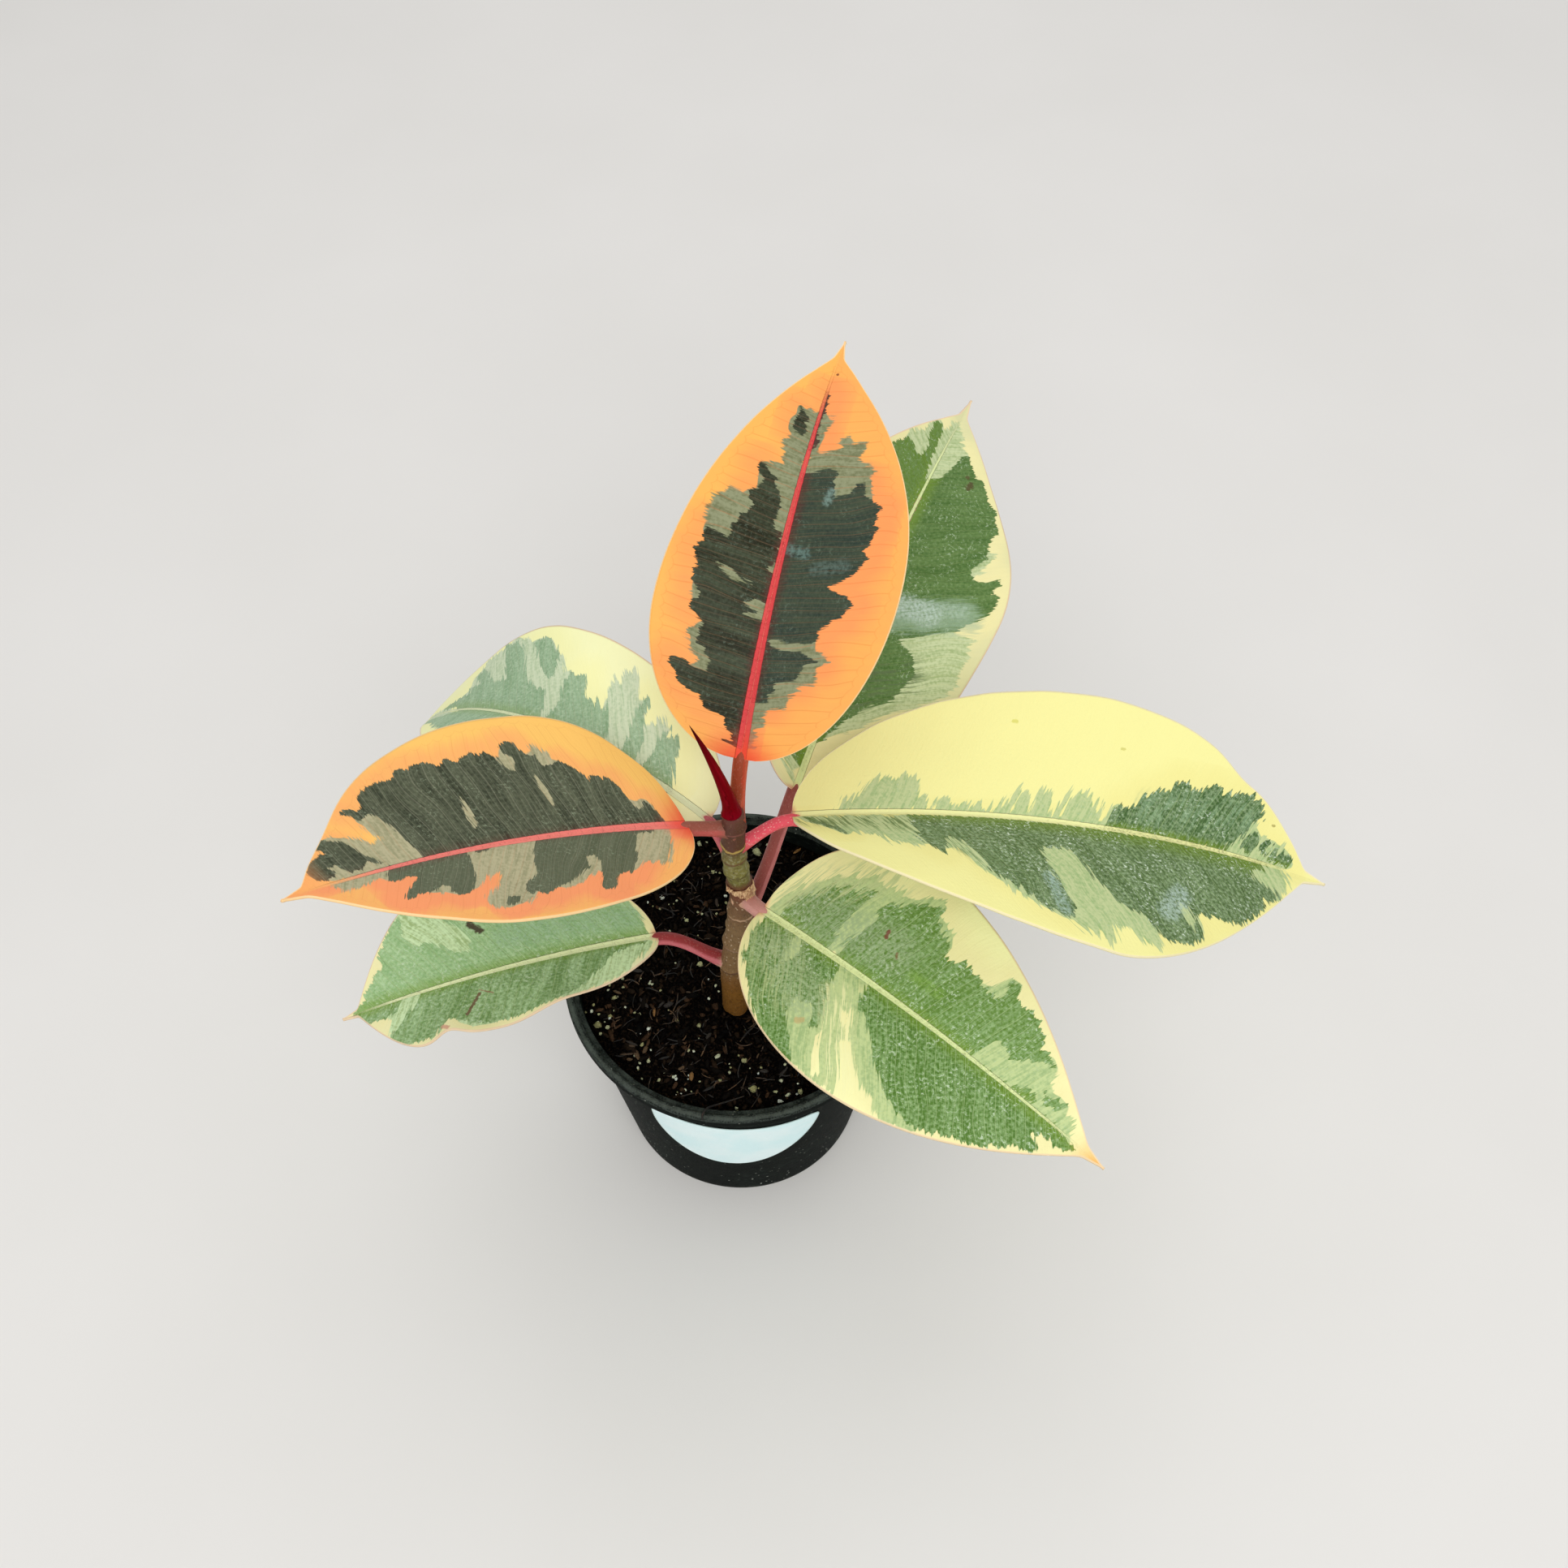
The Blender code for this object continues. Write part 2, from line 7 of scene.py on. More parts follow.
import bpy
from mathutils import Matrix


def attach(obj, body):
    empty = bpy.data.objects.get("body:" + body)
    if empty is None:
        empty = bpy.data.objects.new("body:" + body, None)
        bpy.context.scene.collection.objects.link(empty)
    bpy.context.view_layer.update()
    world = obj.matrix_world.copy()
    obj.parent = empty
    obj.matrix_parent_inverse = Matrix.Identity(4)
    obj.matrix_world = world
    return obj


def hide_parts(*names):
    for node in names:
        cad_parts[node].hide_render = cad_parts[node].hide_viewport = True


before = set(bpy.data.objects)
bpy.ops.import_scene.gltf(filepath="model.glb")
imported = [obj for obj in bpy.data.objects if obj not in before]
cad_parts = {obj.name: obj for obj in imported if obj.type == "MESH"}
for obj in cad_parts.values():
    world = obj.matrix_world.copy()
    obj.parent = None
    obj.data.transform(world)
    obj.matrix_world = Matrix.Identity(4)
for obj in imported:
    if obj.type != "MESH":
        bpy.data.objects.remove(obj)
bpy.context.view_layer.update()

# %% [markdown]
# ## Camera, floor and light
# The view looks down at the plant from the front, about as a person standing at a table sees it.
# The lens and the place were solved from the round rim and foot of the pot.

# %% The camera
import math

import bpy
import numpy as np
from mathutils import Vector, noise

SENSOR_WIDTH = 36.0
FOCAL_LENGTH = 39.13
CAMERA_PLACE = (0.01380, -0.23464, 0.53050)
DEGREES_DOWN = 56.33


def add_object(name, data):
    """Put a camera, a light, a curve or a mesh into the scene."""
    thing = bpy.data.objects.new(name, data)
    scene.collection.objects.link(thing)
    return thing


scene = bpy.context.scene
lens = bpy.data.cameras.new("camera")
lens.sensor_width = SENSOR_WIDTH
lens.lens = FOCAL_LENGTH
camera = add_object("camera", lens)
camera.location = CAMERA_PLACE
camera.rotation_euler = (math.radians(90.0 - DEGREES_DOWN), 0.0, 0.0)
scene.camera = camera
print("camera", tuple(camera.location))

# %% [markdown]
# Light in a studio comes from wide, soft sources. The main panel stands over the viewer's
# shoulder, so the leaves shade each other little, a weaker one hangs behind, and a pale
# surrounding fills the rest.

# %% Soft panels and the surrounding
LIGHT_AIM = Vector((0.0, 0.0, 0.12))
LIGHTS = {
    "panel_front": dict(place=(0.05, -0.75, 1.0), size=0.9, power=5.8),
    "panel_above": dict(place=(0.1, 0.5, 1.15), size=1.2, power=3.0),
}
WHITE = (1.0, 1.0, 1.0, 1.0)
SURROUNDING_POWER = 0.63


def add_panel(name, place, size, power):
    panel = bpy.data.lights.new(name, "AREA")
    panel.shape = "DISK"
    panel.size = size
    panel.energy = power
    holder = add_object(name, panel)
    holder.location = place
    holder.rotation_euler = (LIGHT_AIM - Vector(place)).to_track_quat("-Z", "Y").to_euler()


for name, values in LIGHTS.items():
    add_panel(name, **values)
surrounding = bpy.data.worlds.new("surrounding")
surrounding.use_nodes = True
background = surrounding.node_tree.nodes["Background"].inputs
background["Color"].default_value = WHITE
background["Strength"].default_value = SURROUNDING_POWER
scene.world = surrounding
scene.view_settings.view_transform = "Standard"
print("lights:", list(LIGHTS))

# %% [markdown]
# ## Writing a material as sums
# A material is a net of small nodes. To read it like a sum, a value on its way between two nodes
# is wrapped in a class that knows plus, minus and times, so `1 - mask` adds the node by itself.

# %% The wire between nodes
class Wire:
    """A value, colour or place that runs between the nodes of one material."""

    def __init__(self, tree, socket=None):
        self.tree = tree
        self.socket = socket

    def node(self, kind, settings=None, sockets=None, out=0):
        """Any other node: its kind, its settings, then the values or wires of its sockets."""
        made = self.tree.nodes.new("ShaderNode" + kind)
        for name, value in (settings or {}).items():
            if name == "stops":
                set_stops(made.color_ramp, value)
            else:
                setattr(made, name, value)
        for name, value in (sockets or {}).items():
            self.plug(made.inputs[name], value)
        return Wire(self.tree, made.outputs[out])

    def plug(self, socket, value):
        if isinstance(value, Wire):
            self.tree.links.new(value.socket, socket)
        else:
            socket.default_value = value

    def other(self, out):
        """Another output of the node that this wire comes from."""
        return Wire(self.tree, self.socket.node.outputs[out])

    def maths(self, operation, first, second=0.0):
        return self.node("Math", {"operation": operation}, {0: first, 1: second})

    def __add__(self, value):
        return self.maths("ADD", self, value)

    def __sub__(self, value):
        return self.maths("SUBTRACT", self, value)

    def __rsub__(self, value):
        return self.maths("SUBTRACT", value, self)

    def __mul__(self, value):
        return self.maths("MULTIPLY", self, value)

    def __truediv__(self, value):
        return self.maths("DIVIDE", self, value)

    def __abs__(self):
        return self.maths("ABSOLUTE", self)

    __radd__ = __add__
    __rmul__ = __mul__


def set_stops(ramp, stops):
    """A ramp's stops, as (place, colour) pairs in order."""
    for element, (place, colour) in zip(ramp.elements, (stops[0], stops[-1])):
        element.position = place
        element.color = colour
    for place, colour in stops[1:-1]:
        ramp.elements.new(place).color = colour


print("the wire knows plus, minus, times and divided by")

# %% [markdown]
# A few sums come back in every finish. Each gets a plain name here: a colour as the eye sees it, an
# eased step, coats of paint one over the other, soft noise, and what a mesh keeps at its points.

# %% Sums that come back
def tint(red, green, blue):
    """A colour as it looks, 0 to 255, turned into the light that it sends back."""
    shares = [value / 255.0 for value in (red, green, blue)]
    light = [s / 12.92 if s <= 0.04045 else ((s + 0.055) / 1.055) ** 2.4 for s in shares]
    return (*light, 1.0)


def soften(value, low, high):
    """0 below low, 1 above high, and an eased step between them."""
    return value.node("MapRange", {"interpolation_type": "SMOOTHSTEP"}, {0: value, 1: low, 2: high})


def clamp(value):
    """The value, held between 0 and 1."""
    return value.node("Clamp", sockets={0: value})


def larger(first, second):
    return first.maths("MAXIMUM", first, second)


def straight(x, y):
    """The straight way to a place that lies x one way and y across it."""
    squares = x * x + y * y
    return squares.maths("SQRT", squares)


def blend(first, second, share):
    """The first colour where share is 0, and the second where it is 1."""
    wire = share if isinstance(share, Wire) else first
    return wire.node("Mix", {"data_type": "RGBA"}, {0: share, 6: first, 7: second}, out=2)


def coat(colour, *coats):
    """Coats over a colour, each as (tint, share), the last one on top."""
    for coat_tint, share in coats:
        colour = blend(colour, tint(*coat_tint), share)
    return colour


def read_ramp(value, stops):
    """The colour that a value stands for, by stops of (value, tint) in order."""
    stops = [(place, tint(*stop_tint)) for place, stop_tint in stops]
    return value.node("ValToRGB", {"stops": stops}, {0: value})


def grain(x, y, z=0.0, detail=2.0):
    """Soft noise from 0 to 1 whose spots are about 1 across in x and in y."""
    place = x.node("CombineXYZ", sockets={0: x, 1: y, 2: z})
    return x.node("TexNoise", sockets={"Vector": place, "Scale": 1.0, "Detail": detail})


def stored(wire, name, out="Fac"):
    """The number that a mesh keeps at each point, or its row of three with out="Vector"."""
    return wire.node("Attribute", {"attribute_name": name}, out=out)


def split(row):
    """The three numbers of a row or place."""
    first = row.node("SeparateXYZ", sockets={0: row})
    return first, first.other(1), first.other(2)


def start_material(name, specular=0.5):
    """A material, a wire to start its sums from, and the sockets of its shader."""
    material = bpy.data.materials.new(name)
    material.use_nodes = True
    shader = material.node_tree.nodes["Principled BSDF"].inputs
    shader["Specular IOR Level"].default_value = specular
    return material, Wire(material.node_tree), shader


def dress(wire, shader, colour, roughness, height, depth=0.0001):
    """Plug a colour, a roughness and a height map, in metres, into the shader."""
    bump = wire.node("Bump", sockets={"Distance": depth, "Height": height})
    for name, value in (("Base Color", colour), ("Roughness", roughness), ("Normal", bump)):
        wire.plug(shader[name], value)


print("tint of mid grey:", [round(part, 3) for part in tint(128, 128, 128)])

# %% [markdown]
# ## The floor
# Any flat pale sheet does. A little unevenness in its gloss keeps it from looking drawn.

# %% A pale floor
FLOOR_SIZE = 6.0
CLOUDS_PER_METRE = 9.0

bpy.ops.mesh.primitive_plane_add(size=FLOOR_SIZE)
floor = bpy.context.object
floor.name = "floor"
material, wire, shader = start_material("pale_floor")
place = wire.node("TexCoord", out="Object")
cloud = wire.node("TexNoise", sockets={"Vector": place, "Scale": CLOUDS_PER_METRE, "Detail": 3.0})
wire.plug(shader["Base Color"], blend(tint(226, 224, 220), tint(233, 231, 228), cloud))
wire.plug(shader["Roughness"], cloud * 0.1 + 0.7)
floor.data.materials.append(material)
print("floor", tuple(floor.dimensions))

# %% [markdown]
# ## How a leaf grows in numbers
# Each blade follows a midrib that starts at the end of its stalk and then turns, droops and rolls
# a little with every step. Across the midrib the two halves have their own widths, folds and
# cups. These are the measured model's own values, so the fine leaf covers the plain one.

# %% Driving values of stem and leaves, in millimetres and degrees
MM = 0.001
STEM_Y = -11.6
STEM_LINE = (
    (-0.3, 55.0, 3.6), (-0.3, 80.0, 3.9), (-0.4, 92.0, 3.7), (-0.5, 104.0, 3.7),
    (0.6, 116.0, 3.5), (2.0, 130.0, 3.5), (3.0, 144.0, 3.4), (2.1, 152.0, 3.1),
    (1.3, 161.0, 3.0), (1.2, 168.0, 2.8), (1.4, 176.0, 2.9), (1.5, 184.0, 2.7),
)
# stalk: height on the stem, then reach, bearing and rise to the blade, and its radius.
# line: the midrib's length, bearing and slope, then droop and sway. turn: roll and twist.
# left and right: half width, widest place, fullness, fold and cup. notch and wave: in one edge.
LEAVES = {
    "leaf_top": dict(
        stalk=(180.0, 7.7, 76.0, 15.0, 1.9), line=(109.0, 76.0, 48.5, 43.5, -3.0), turn=(3.0, 3.0),
        left=(27.3, 0.31, 1.9, 8.0, -1.0), right=(30.0, 0.43, 2.1, 7.0, 0.0)),
    "leaf_left": dict(
        stalk=(176.0, 11.1, 192.0, 5.6, 1.9), line=(107.5, 203.5, 30.5, 1.0, 21.0),
        turn=(5.0, 0.0), left=(27.3, 0.50, 2.2, 3.0, 8.0), right=(37.0, 0.31, 2.35, 1.0, 12.0),
        notch=("right", 0.85, 0.10, 0.08)),
    "leaf_rear_right": dict(
        stalk=(128.0, 27.0, 57.0, 30.4, 1.8), line=(133.0, 69.0, 20.0, 19.5, -4.5),
        turn=(25.0, 1.0), left=(26.7, 0.50, 1.8, 12.5, 1.0), right=(35.0, 0.50, 2.0, 5.5, 3.5),
        wave=("right", 2.2, 2.0, 0.3)),
    "leaf_right": dict(
        stalk=(167.0, 15.1, 16.0, 8.5, 1.6), line=(145.0, 362.5, 3.0, 31.0, -6.5),
        turn=(-25.0, 40.0), left=(37.3, 0.44, 2.5, 13.5, 1.5),
        right=(43.5, 0.51, 1.65, 19.0, -17.0), notch=("left", 0.80, 0.07, 0.035)),
    "leaf_front_right": dict(
        stalk=(143.0, 8.8, 305.0, 5.7, 2.2), line=(107.5, 318.5, 12.5, 24.0, 1.0), turn=(8.5, 0.0),
        left=(32.6, 0.28, 1.8, 12.0, 3.0), right=(30.0, 0.40, 2.0, 10.0, 1.0)),
    "leaf_rear_left": dict(
        stalk=(162.0, 8.2, 137.0, 8.9, 1.7), line=(117.0, 146.5, 21.0, 81.5, 2.0), turn=(1.0, 2.0),
        left=(26.1, 0.42, 1.7, 4.0, 0.0), right=(30.6, 0.57, 2.2, 3.5, 10.0)),
    "leaf_lower_left": dict(
        stalk=(106.0, 20.5, 176.0, 12.7, 1.8), line=(86.5, 198.0, 14.0, 21.5, 1.5),
        turn=(6.5, -3.5), left=(19.4, 0.70, 2.3, 10.0, -1.0), right=(29.9, 0.59, 2.1, 8.0, 4.0),
        notch=("left", 0.70, 0.16, 0.05), wave=("left", 1.6, 3.0, 1.2)),
}

def compass(bearing):
    """A level direction by its bearing in degrees, from east round to the left."""
    return Vector((math.cos(math.radians(bearing)), math.sin(math.radians(bearing)), 0.0))
def along_line(height, column):
    """A column of the stem's line at a height, eased between its rows."""
    for low, high in zip(STEM_LINE, STEM_LINE[1:]):
        if height <= high[1]:
            share = (height - low[1]) / (high[1] - low[1])
            return low[column] + (high[column] - low[column]) * share * share * (3.0 - 2.0 * share)
    return STEM_LINE[-1][column]


def stem_axis(height):
    return Vector((along_line(height, 0), STEM_Y, height))


print("leaf lengths, mm:", {name: values["line"][0] for name, values in LEAVES.items()})

# %% [markdown]
# The leaf is worked out for thousands of points at once, so its places are arrays. `share` runs
# from 0 at the blade's base to 1 at its tip, `across` from -1 at the right edge to 1 at the left.

# %% The leaf's form
DRIP_TIP_START = 0.955
DRIP_TIP_END = 1.04
DRIP_TIP_WIDTH = 0.075
LEAST_HALF_WIDTH = 0.25
MIDRIB_STEPS = 240


class Leaf:
    """The places on one leaf, worked out for many points at once."""

    def __init__(self, stalk, line, turn, left, right, notch=None, wave=None):
        self.node_height, reach, bearing, rise, self.stalk_radius = stalk
        self.length, self.bearing, self.slope, self.droop, self.sway = line
        self.roll, self.twist = turn
        self.halves = {"left": left, "right": right}
        self.notch = notch
        self.wave = wave
        self.root = stem_axis(self.node_height)
        self.base = self.root + compass(bearing) * reach + Vector((0.0, 0.0, rise))
        middles = (np.arange(MIDRIB_STEPS) + 0.5) / MIDRIB_STEPS
        steps = self.axes(middles)[0] * (self.length / MIDRIB_STEPS)
        self.midrib = np.array(self.base) + np.vstack([np.zeros(3), np.cumsum(steps, 0)])

    def axes(self, share):
        """Directions at a share of the length: along the midrib, to the left edge, and up."""
        bearing = np.radians(self.bearing + self.sway * share)
        slope = np.radians(self.slope - self.droop * share)
        roll = np.radians(self.roll + self.twist * share)[..., None]
        along = np.stack(
            [np.cos(slope) * np.cos(bearing), np.cos(slope) * np.sin(bearing), np.sin(slope)], -1)
        level = np.stack([-np.sin(bearing), np.cos(bearing), 0.0 * bearing], -1)
        upright = np.cross(along, level)
        side = level * np.cos(roll) + upright * np.sin(roll)
        up = upright * np.cos(roll) - level * np.sin(roll)
        return along, side, up

    def midrib_point(self, share):
        stations = np.linspace(0.0, 1.0, MIDRIB_STEPS + 1)
        return np.stack([np.interp(share, stations, column) for column in self.midrib.T], -1)

    def half_width(self, share, half):
        """A round base, a curve beyond the widest point, and a drip tip."""
        width, widest, fullness = self.halves[half][:3]
        before = np.sqrt(np.clip(1.0 - ((widest - share) / widest) ** 2, 0.0, 1.0))
        past = np.clip((share - widest) / (DRIP_TIP_START - widest), 0.0, 1.0)
        body = np.where(share < widest, before, 1.0 - past**fullness)
        drip = DRIP_TIP_WIDTH * np.clip((1.0 - share) / (DRIP_TIP_END - DRIP_TIP_START), 0.0, 1.0)
        width = width * (body**3 + np.where(share < widest, 0.0, drip) ** 3) ** (1.0 / 3.0)
        if self.notch and self.notch[0] == half:
            _, place, depth, spread = self.notch
            width = width * (1.0 - depth * np.exp(-(((share - place) / spread) ** 2)))
        return np.maximum(width, LEAST_HALF_WIDTH)

    def distance(self, share, across):
        """Millimetres from the midrib, along the blade."""
        left = self.half_width(share, "left")
        return np.abs(across) * np.where(across >= 0.0, left, self.half_width(share, "right"))

    def place(self, share, across):
        """Points on the blade's upper face."""
        _, side, up = self.axes(share)
        distance = self.distance(share, across)
        left = across >= 0.0
        full, _, _, fold, cup = [
            np.where(left, a, b) for a, b in zip(self.halves["left"], self.halves["right"])]
        tilt = np.radians(fold + cup * distance / full / 2.0)
        sideways = np.where(left, 1.0, -1.0) * distance * np.cos(tilt)
        rise = distance * np.sin(tilt)
        if self.wave:
            half, height, count, phase = self.wave
            swell = np.sin(math.tau * count * share + phase) * np.sin(math.pi * share)
            rise = rise + np.where(left == (half == "left"), height * across**2 * swell, 0.0)
        return self.midrib_point(share) + side * sideways[..., None] + up * rise[..., None]


leaves = {name: Leaf(**values) for name, values in LEAVES.items()}
for name, leaf in leaves.items():
    print(name, "tip at", [round(float(part), 1) for part in leaf.midrib_point(np.array(1.0))])

# %% [markdown]
# ## The painted patches
# Variegation is a patchwork of cell layers: some make no green at all and show cream or orange,
# some make little and look grey, some are full green. Each patch ends in teeth, because it grew
# along the side veins. Each patch is written as an outline on the flattened blade, as a painter
# would mask it: millimetres along the midrib, then millimetres to the left of it. Later patches
# lie over the ones before. "grey" is the half-green layer, "window" is grey that shows through a
# gap in the green, and "bare" is the margin's own colour.

# %% Outlines of the two young leaves
PATCHES = {}
PATCHES["leaf_top"] = (
    ("grey", "2.6,-0.6 3.4,-3 4.6,-1.8 5.8,-3.4 7.4,-2.4 8.8,-3.8 10,-4.5 13,-4.3 14.3,-6.5 "
     "14.5,-8.5 17,-9.2 18.8,-11.5 20,-10 21.2,-14.3 "
     "23.8,-14.8 25.5,-13.8 27.2,-17.3 28.6,-14.5 30.6,-12 31.4,-8 31.4,-1"),
    ("grey", "19.6,12 19.8,14.4 22.3,14.2 24,16.8 25.8,16 27,18.2 28.6,17.6 29.4,15.5 30,12 24,9"),
    ("grey", "35.5,15 36.3,19 37.8,18 38,15"),
    ("grey", "50,12 51.5,18.6 52.8,18.2 54,20.6 55.3,19.3 56.6,20.4 58,18.6 59.8,19.4 61,17 "
     "62.6,15.6 62,13 61.6,10 60,8.4 55,9"),
    ("grey", "45,0.5 45.6,3.4 48,3.8 50,3.4 52,3.4 54.5,3.6 58,4.8 62,5.8 65.4,9.8 68,9 "
     "70.3,8.8 71,5.2 "
     "73,5.6 75.5,6.4 78,6.2 79,5.3 80.5,6.4 82.5,6.3 84,5 86.3,5.2 85.8,3.2 87.8,2.7 86.3,1.2 "
     "86,0"),
    ("grey", "66,0 86.3,-0.5 86,-3.6 83.5,-3.3 80,-1.6 76.5,-1.2 77,-3.8 78.2,-6.6 81,-7.2 "
     "82,-8.6 80.2,-10 81.6,-13.2 79,-13.4 76.4,-12.6 75.6,-14 75.2,-17.2 72.6,-16 71,-16.8 "
     "68.4,-17.6 66.6,-16 67.8,-12 64.6,-9 66,-6"),
    ("green", "2.4,0 2.8,2.6 4,4.8 4.4,2.8 5.8,3.4 7.2,4.8 9.3,5.6 10.2,7 10.6,10.6 12.6,11.4 "
     "13.6,12.6 14.2,15.8 17,18.4 "
     "18.6,19 20.4,21.2 21.8,20.2 21.2,17 19.8,14.8 19.6,11.4 21.2,11.2 22,10.4 23,12 24.6,13.4 "
     "25.6,15.4 28,14.8 29.4,15.2 30.4,13.8 31.6,16.4 33.4,18.9 35,18 36,16.2 37.6,17 38.4,18.8 "
     "40.2,19.3 42.4,19.6 42.8,18.4 44.8,19.6 47,20.6 48.4,18.4 50.4,19.1 52,18.9 51.8,16 "
     "50.6,13.2 51.6,11.8 53.4,13.6 54.4,13.2 55.2,11.8 57.2,12 57.8,10.4 59.6,9.4 61,10.8 "
     "63.2,11.4 63.8,9.2 65.6,8.4 67.8,9.8 69.6,11 70.4,10.2 69.2,8 67.4,5.6 65.4,5.2 63.2,3.6 "
     "61,2.8 58.6,3.4 55.4,3.2 55,1 47.4,0.6 46,2.8 44.5,0"),
    ("green", "79.8,2.6 80.6,5.2 83.2,5.6 84.6,4.6 86.8,5 85.6,3.4 84.2,1.9 82.4,2.8 81.2,1.8"),
    ("green", "14.4,0 14.8,-4.2 16.8,-4 17.6,-5.6 19.2,-5 20.6,-7.4 21.4,-10 24,-10.6 25.6,-11.8 "
     "26.4,-14.4 27.6,-12 28.2,-8 28,-4 28.4,-1.6 29.6,-2 30,-8 30.4,-11.8 32.6,-13.4 34,-12.4 "
     "35.4,-14.8 36.6,-15.2 37.8,-17.6 39.6,-18 41.4,-19.4 43.2,-17.6 43.6,-13.8 44.6,-12.4 "
     "46.2,-15.8 48.2,-17.8 50.6,-19.4 53,-20.2 54.6,-18.8 56.6,-20 58.6,-20.4 60.4,-21.2 "
     "61.2,-19.8 63.6,-20 65.6,-20.8 67.2,-17.6 68.6,-15.4 71,-15.6 70.2,-13.4 67.6,-12.4 "
     "66.2,-9 70,-8.2 72.2,-8.2 72.4,-5.6 70.4,0"),
    ("green", "76.4,0 78,-1.8 80.4,-2.4 80,-1 82,-0.6 86,-1 92,-1 93,0 88,0.2"),
    ("window", "40.6,5 41.2,9.8 43.6,13.4 44.6,14.6 43.8,11 42,8 41.4,4.6"),
    ("window", "33,0 34.2,5.8 35,2.2 36.6,5.6 38,3.6 37.6,0"),
)
PATCHES["leaf_left"] = (
    ("grey", "5.5,0.5 7,4.5 9,8.6 10.5,10.4 12,12.6 13.8,13.4 15.8,14.6 16,11.8 17.6,12.8 "
     "19.6,11.8 22,13.8 24,14.6 26,12 22,1"),
    ("grey", "30.6,8 31.4,10.4 32.4,12.6 34,13.4 36,14.8 38,15.8 40,17 43.4,18 46.4,18.4 48,16 "
     "40,10 34,7"),
    ("grey", "41,0 43,3 45,5 47.4,8.6 49,11.4 51.6,13.6 54,15.6 56.4,19.4 59,21 62,20.2 64.5,21 "
     "67.4,20.8 68.8,18.6 67.6,16.4 65,15.2 62,13.4 59,10.4 58.8,9.2 62,9.6 65,11.2 67,12.6 "
     "70,10 64,0"),
    ("grey", "71.5,9.5 73.4,12.6 75.8,11.8 77.4,10.8 75,9.4"),
    ("grey", "82,0 84.6,3 86.6,2.6 89,3.4 92,3.6 95.4,3.8 94.6,2.4 95.8,1.2 95.6,0 90,-0.5"),
    ("grey", "71,0 73.6,-7 74.2,-12 75.2,-14.6 77.6,-16.2 80,-14.6 80,-11.6 78.2,-9 79.6,-7.2 "
     "81.6,-8.4 82.6,-10.4 85,-11.2 86.6,-11.6 88,-12.6 90.6,-11 89.6,-6 93,-4.6 94.4,-1 "
     "90,0"),
    ("grey", "26.8,-20.6 27.6,-24.6 29.4,-26.6 30.4,-29 31.8,-27.6 31.6,-22"),
    ("grey", "36.4,-21 36.8,-25.4 38.6,-26.6 40,-23.6 38.8,-20"),
    ("grey", "8,-6 9.6,-8.6 12.6,-7.6 12,-5"),
    ("green", "10.4,0 10.4,1.6 12,2.6 14.4,2 16.6,2.6 17.4,4.4 19.6,8.6 21,11.4 23,13 24.6,14.6 "
     "25.6,15.8 28.2,15.6 30.2,16.6 31.2,17.6 33.6,20.6 35.6,21.4 37.4,21 36.8,18.6 34,15.6 "
     "32.6,12 31.4,8.6 34.4,9 35.6,12.6 38,13.6 41.6,15.4 44,16.8 47.6,17.2 50.6,18.8 53.4,19.2 "
     "54,17.6 56.2,18.6 56.6,17 55.4,14.6 52.4,13 50.2,12 48.8,8 46.2,4 43,0"),
    ("green", "59.6,18.4 61.4,20.6 64.4,20.8 64.6,19.8 62,17.8"),
    ("green", "61.2,0 62.6,4 64,8 66,10.6 68,12.8 70,14.2 72.6,14 73.6,12 72.2,10.4 75.4,9.6 "
     "76.6,10.6 79.6,11 80.8,10.4 84,11.4 85,10.6 83,8.8 80.6,7.4 77.4,5 79,4.2 82,4.6 84,4 "
     "83,1.6 81,-0.4"),
    ("green", "54.6,0 57,1.7 60,1.4 60,0"),
    ("green", "5.4,0 6.6,-3.6 7.6,-5.4 8.4,-8 9.6,-7.6 10.6,-5 12,-6.4 12.8,-9.4 13.6,-12.6 "
     "14.8,-15.6 16,-16 16.8,-15 17.6,-16.8 19.8,-17 20.8,-15 21.6,-17.6 23,-19.6 25.6,-22.4 "
     "26.8,-21.8 30.4,-21.4 31.4,-24.4 32.6,-24.8 34,-27 35,-29.2 37,-29.6 38.6,-28.8 38.4,-26.4 "
     "36.6,-25 36.8,-22 38,-20.6 39.6,-22 40.6,-26 42.6,-27.6 44.4,-26.8 45.6,-27.6 48.4,-27 "
     "50.4,-25.2 52.4,-27.2 54.6,-25.4 56.8,-26.6 58,-27 60.6,-27.2 62,-25.4 63.2,-26.6 65,-26.6 "
     "66.4,-24.6 69.2,-23.8 72,-24 75.4,-22.6 77,-20.2 77.4,-17.2 75,-14.8 73.8,-11 73,-5 72,0"),
    ("green", "74.6,-14.8 76,-16.4 78.4,-14.8 79.6,-14.8 80.6,-16.6 82.6,-17.4 82,-18.8 "
     "79.6,-18.2 78.2,-17.4 76.6,-19"),
    ("green", "81.6,-1.6 84,-5.6 84.6,-7.6 86.6,-10.6 89,-11.6 91,-12.2 92.8,-10.6 91.4,-8.6 "
     "93.8,-8.4 95.4,-7 97,-6.6 98.6,-4.4 97.6,-2 96.4,-1.4 93.2,-1.6 92.6,-3 93.4,-4.4 "
     "91.6,-4.6 90.6,-2.8 89.8,-1.6 86,-1.8 84.6,-3.4"),
    ("window", "33,-8 32.6,-14 33.4,-20.6 34,-18 34.4,-13 33.8,-9"),
    ("window", "54.6,-6 53.8,-12 54.2,-16.4 55.2,-12 55.8,-6"),
)
print("patches on the young leaves:", len(PATCHES["leaf_top"]) + len(PATCHES["leaf_left"]))

# %% [markdown]
# The older leaves have lost their orange. Their margins are cream, and long pale strokes run out
# between the side veins.

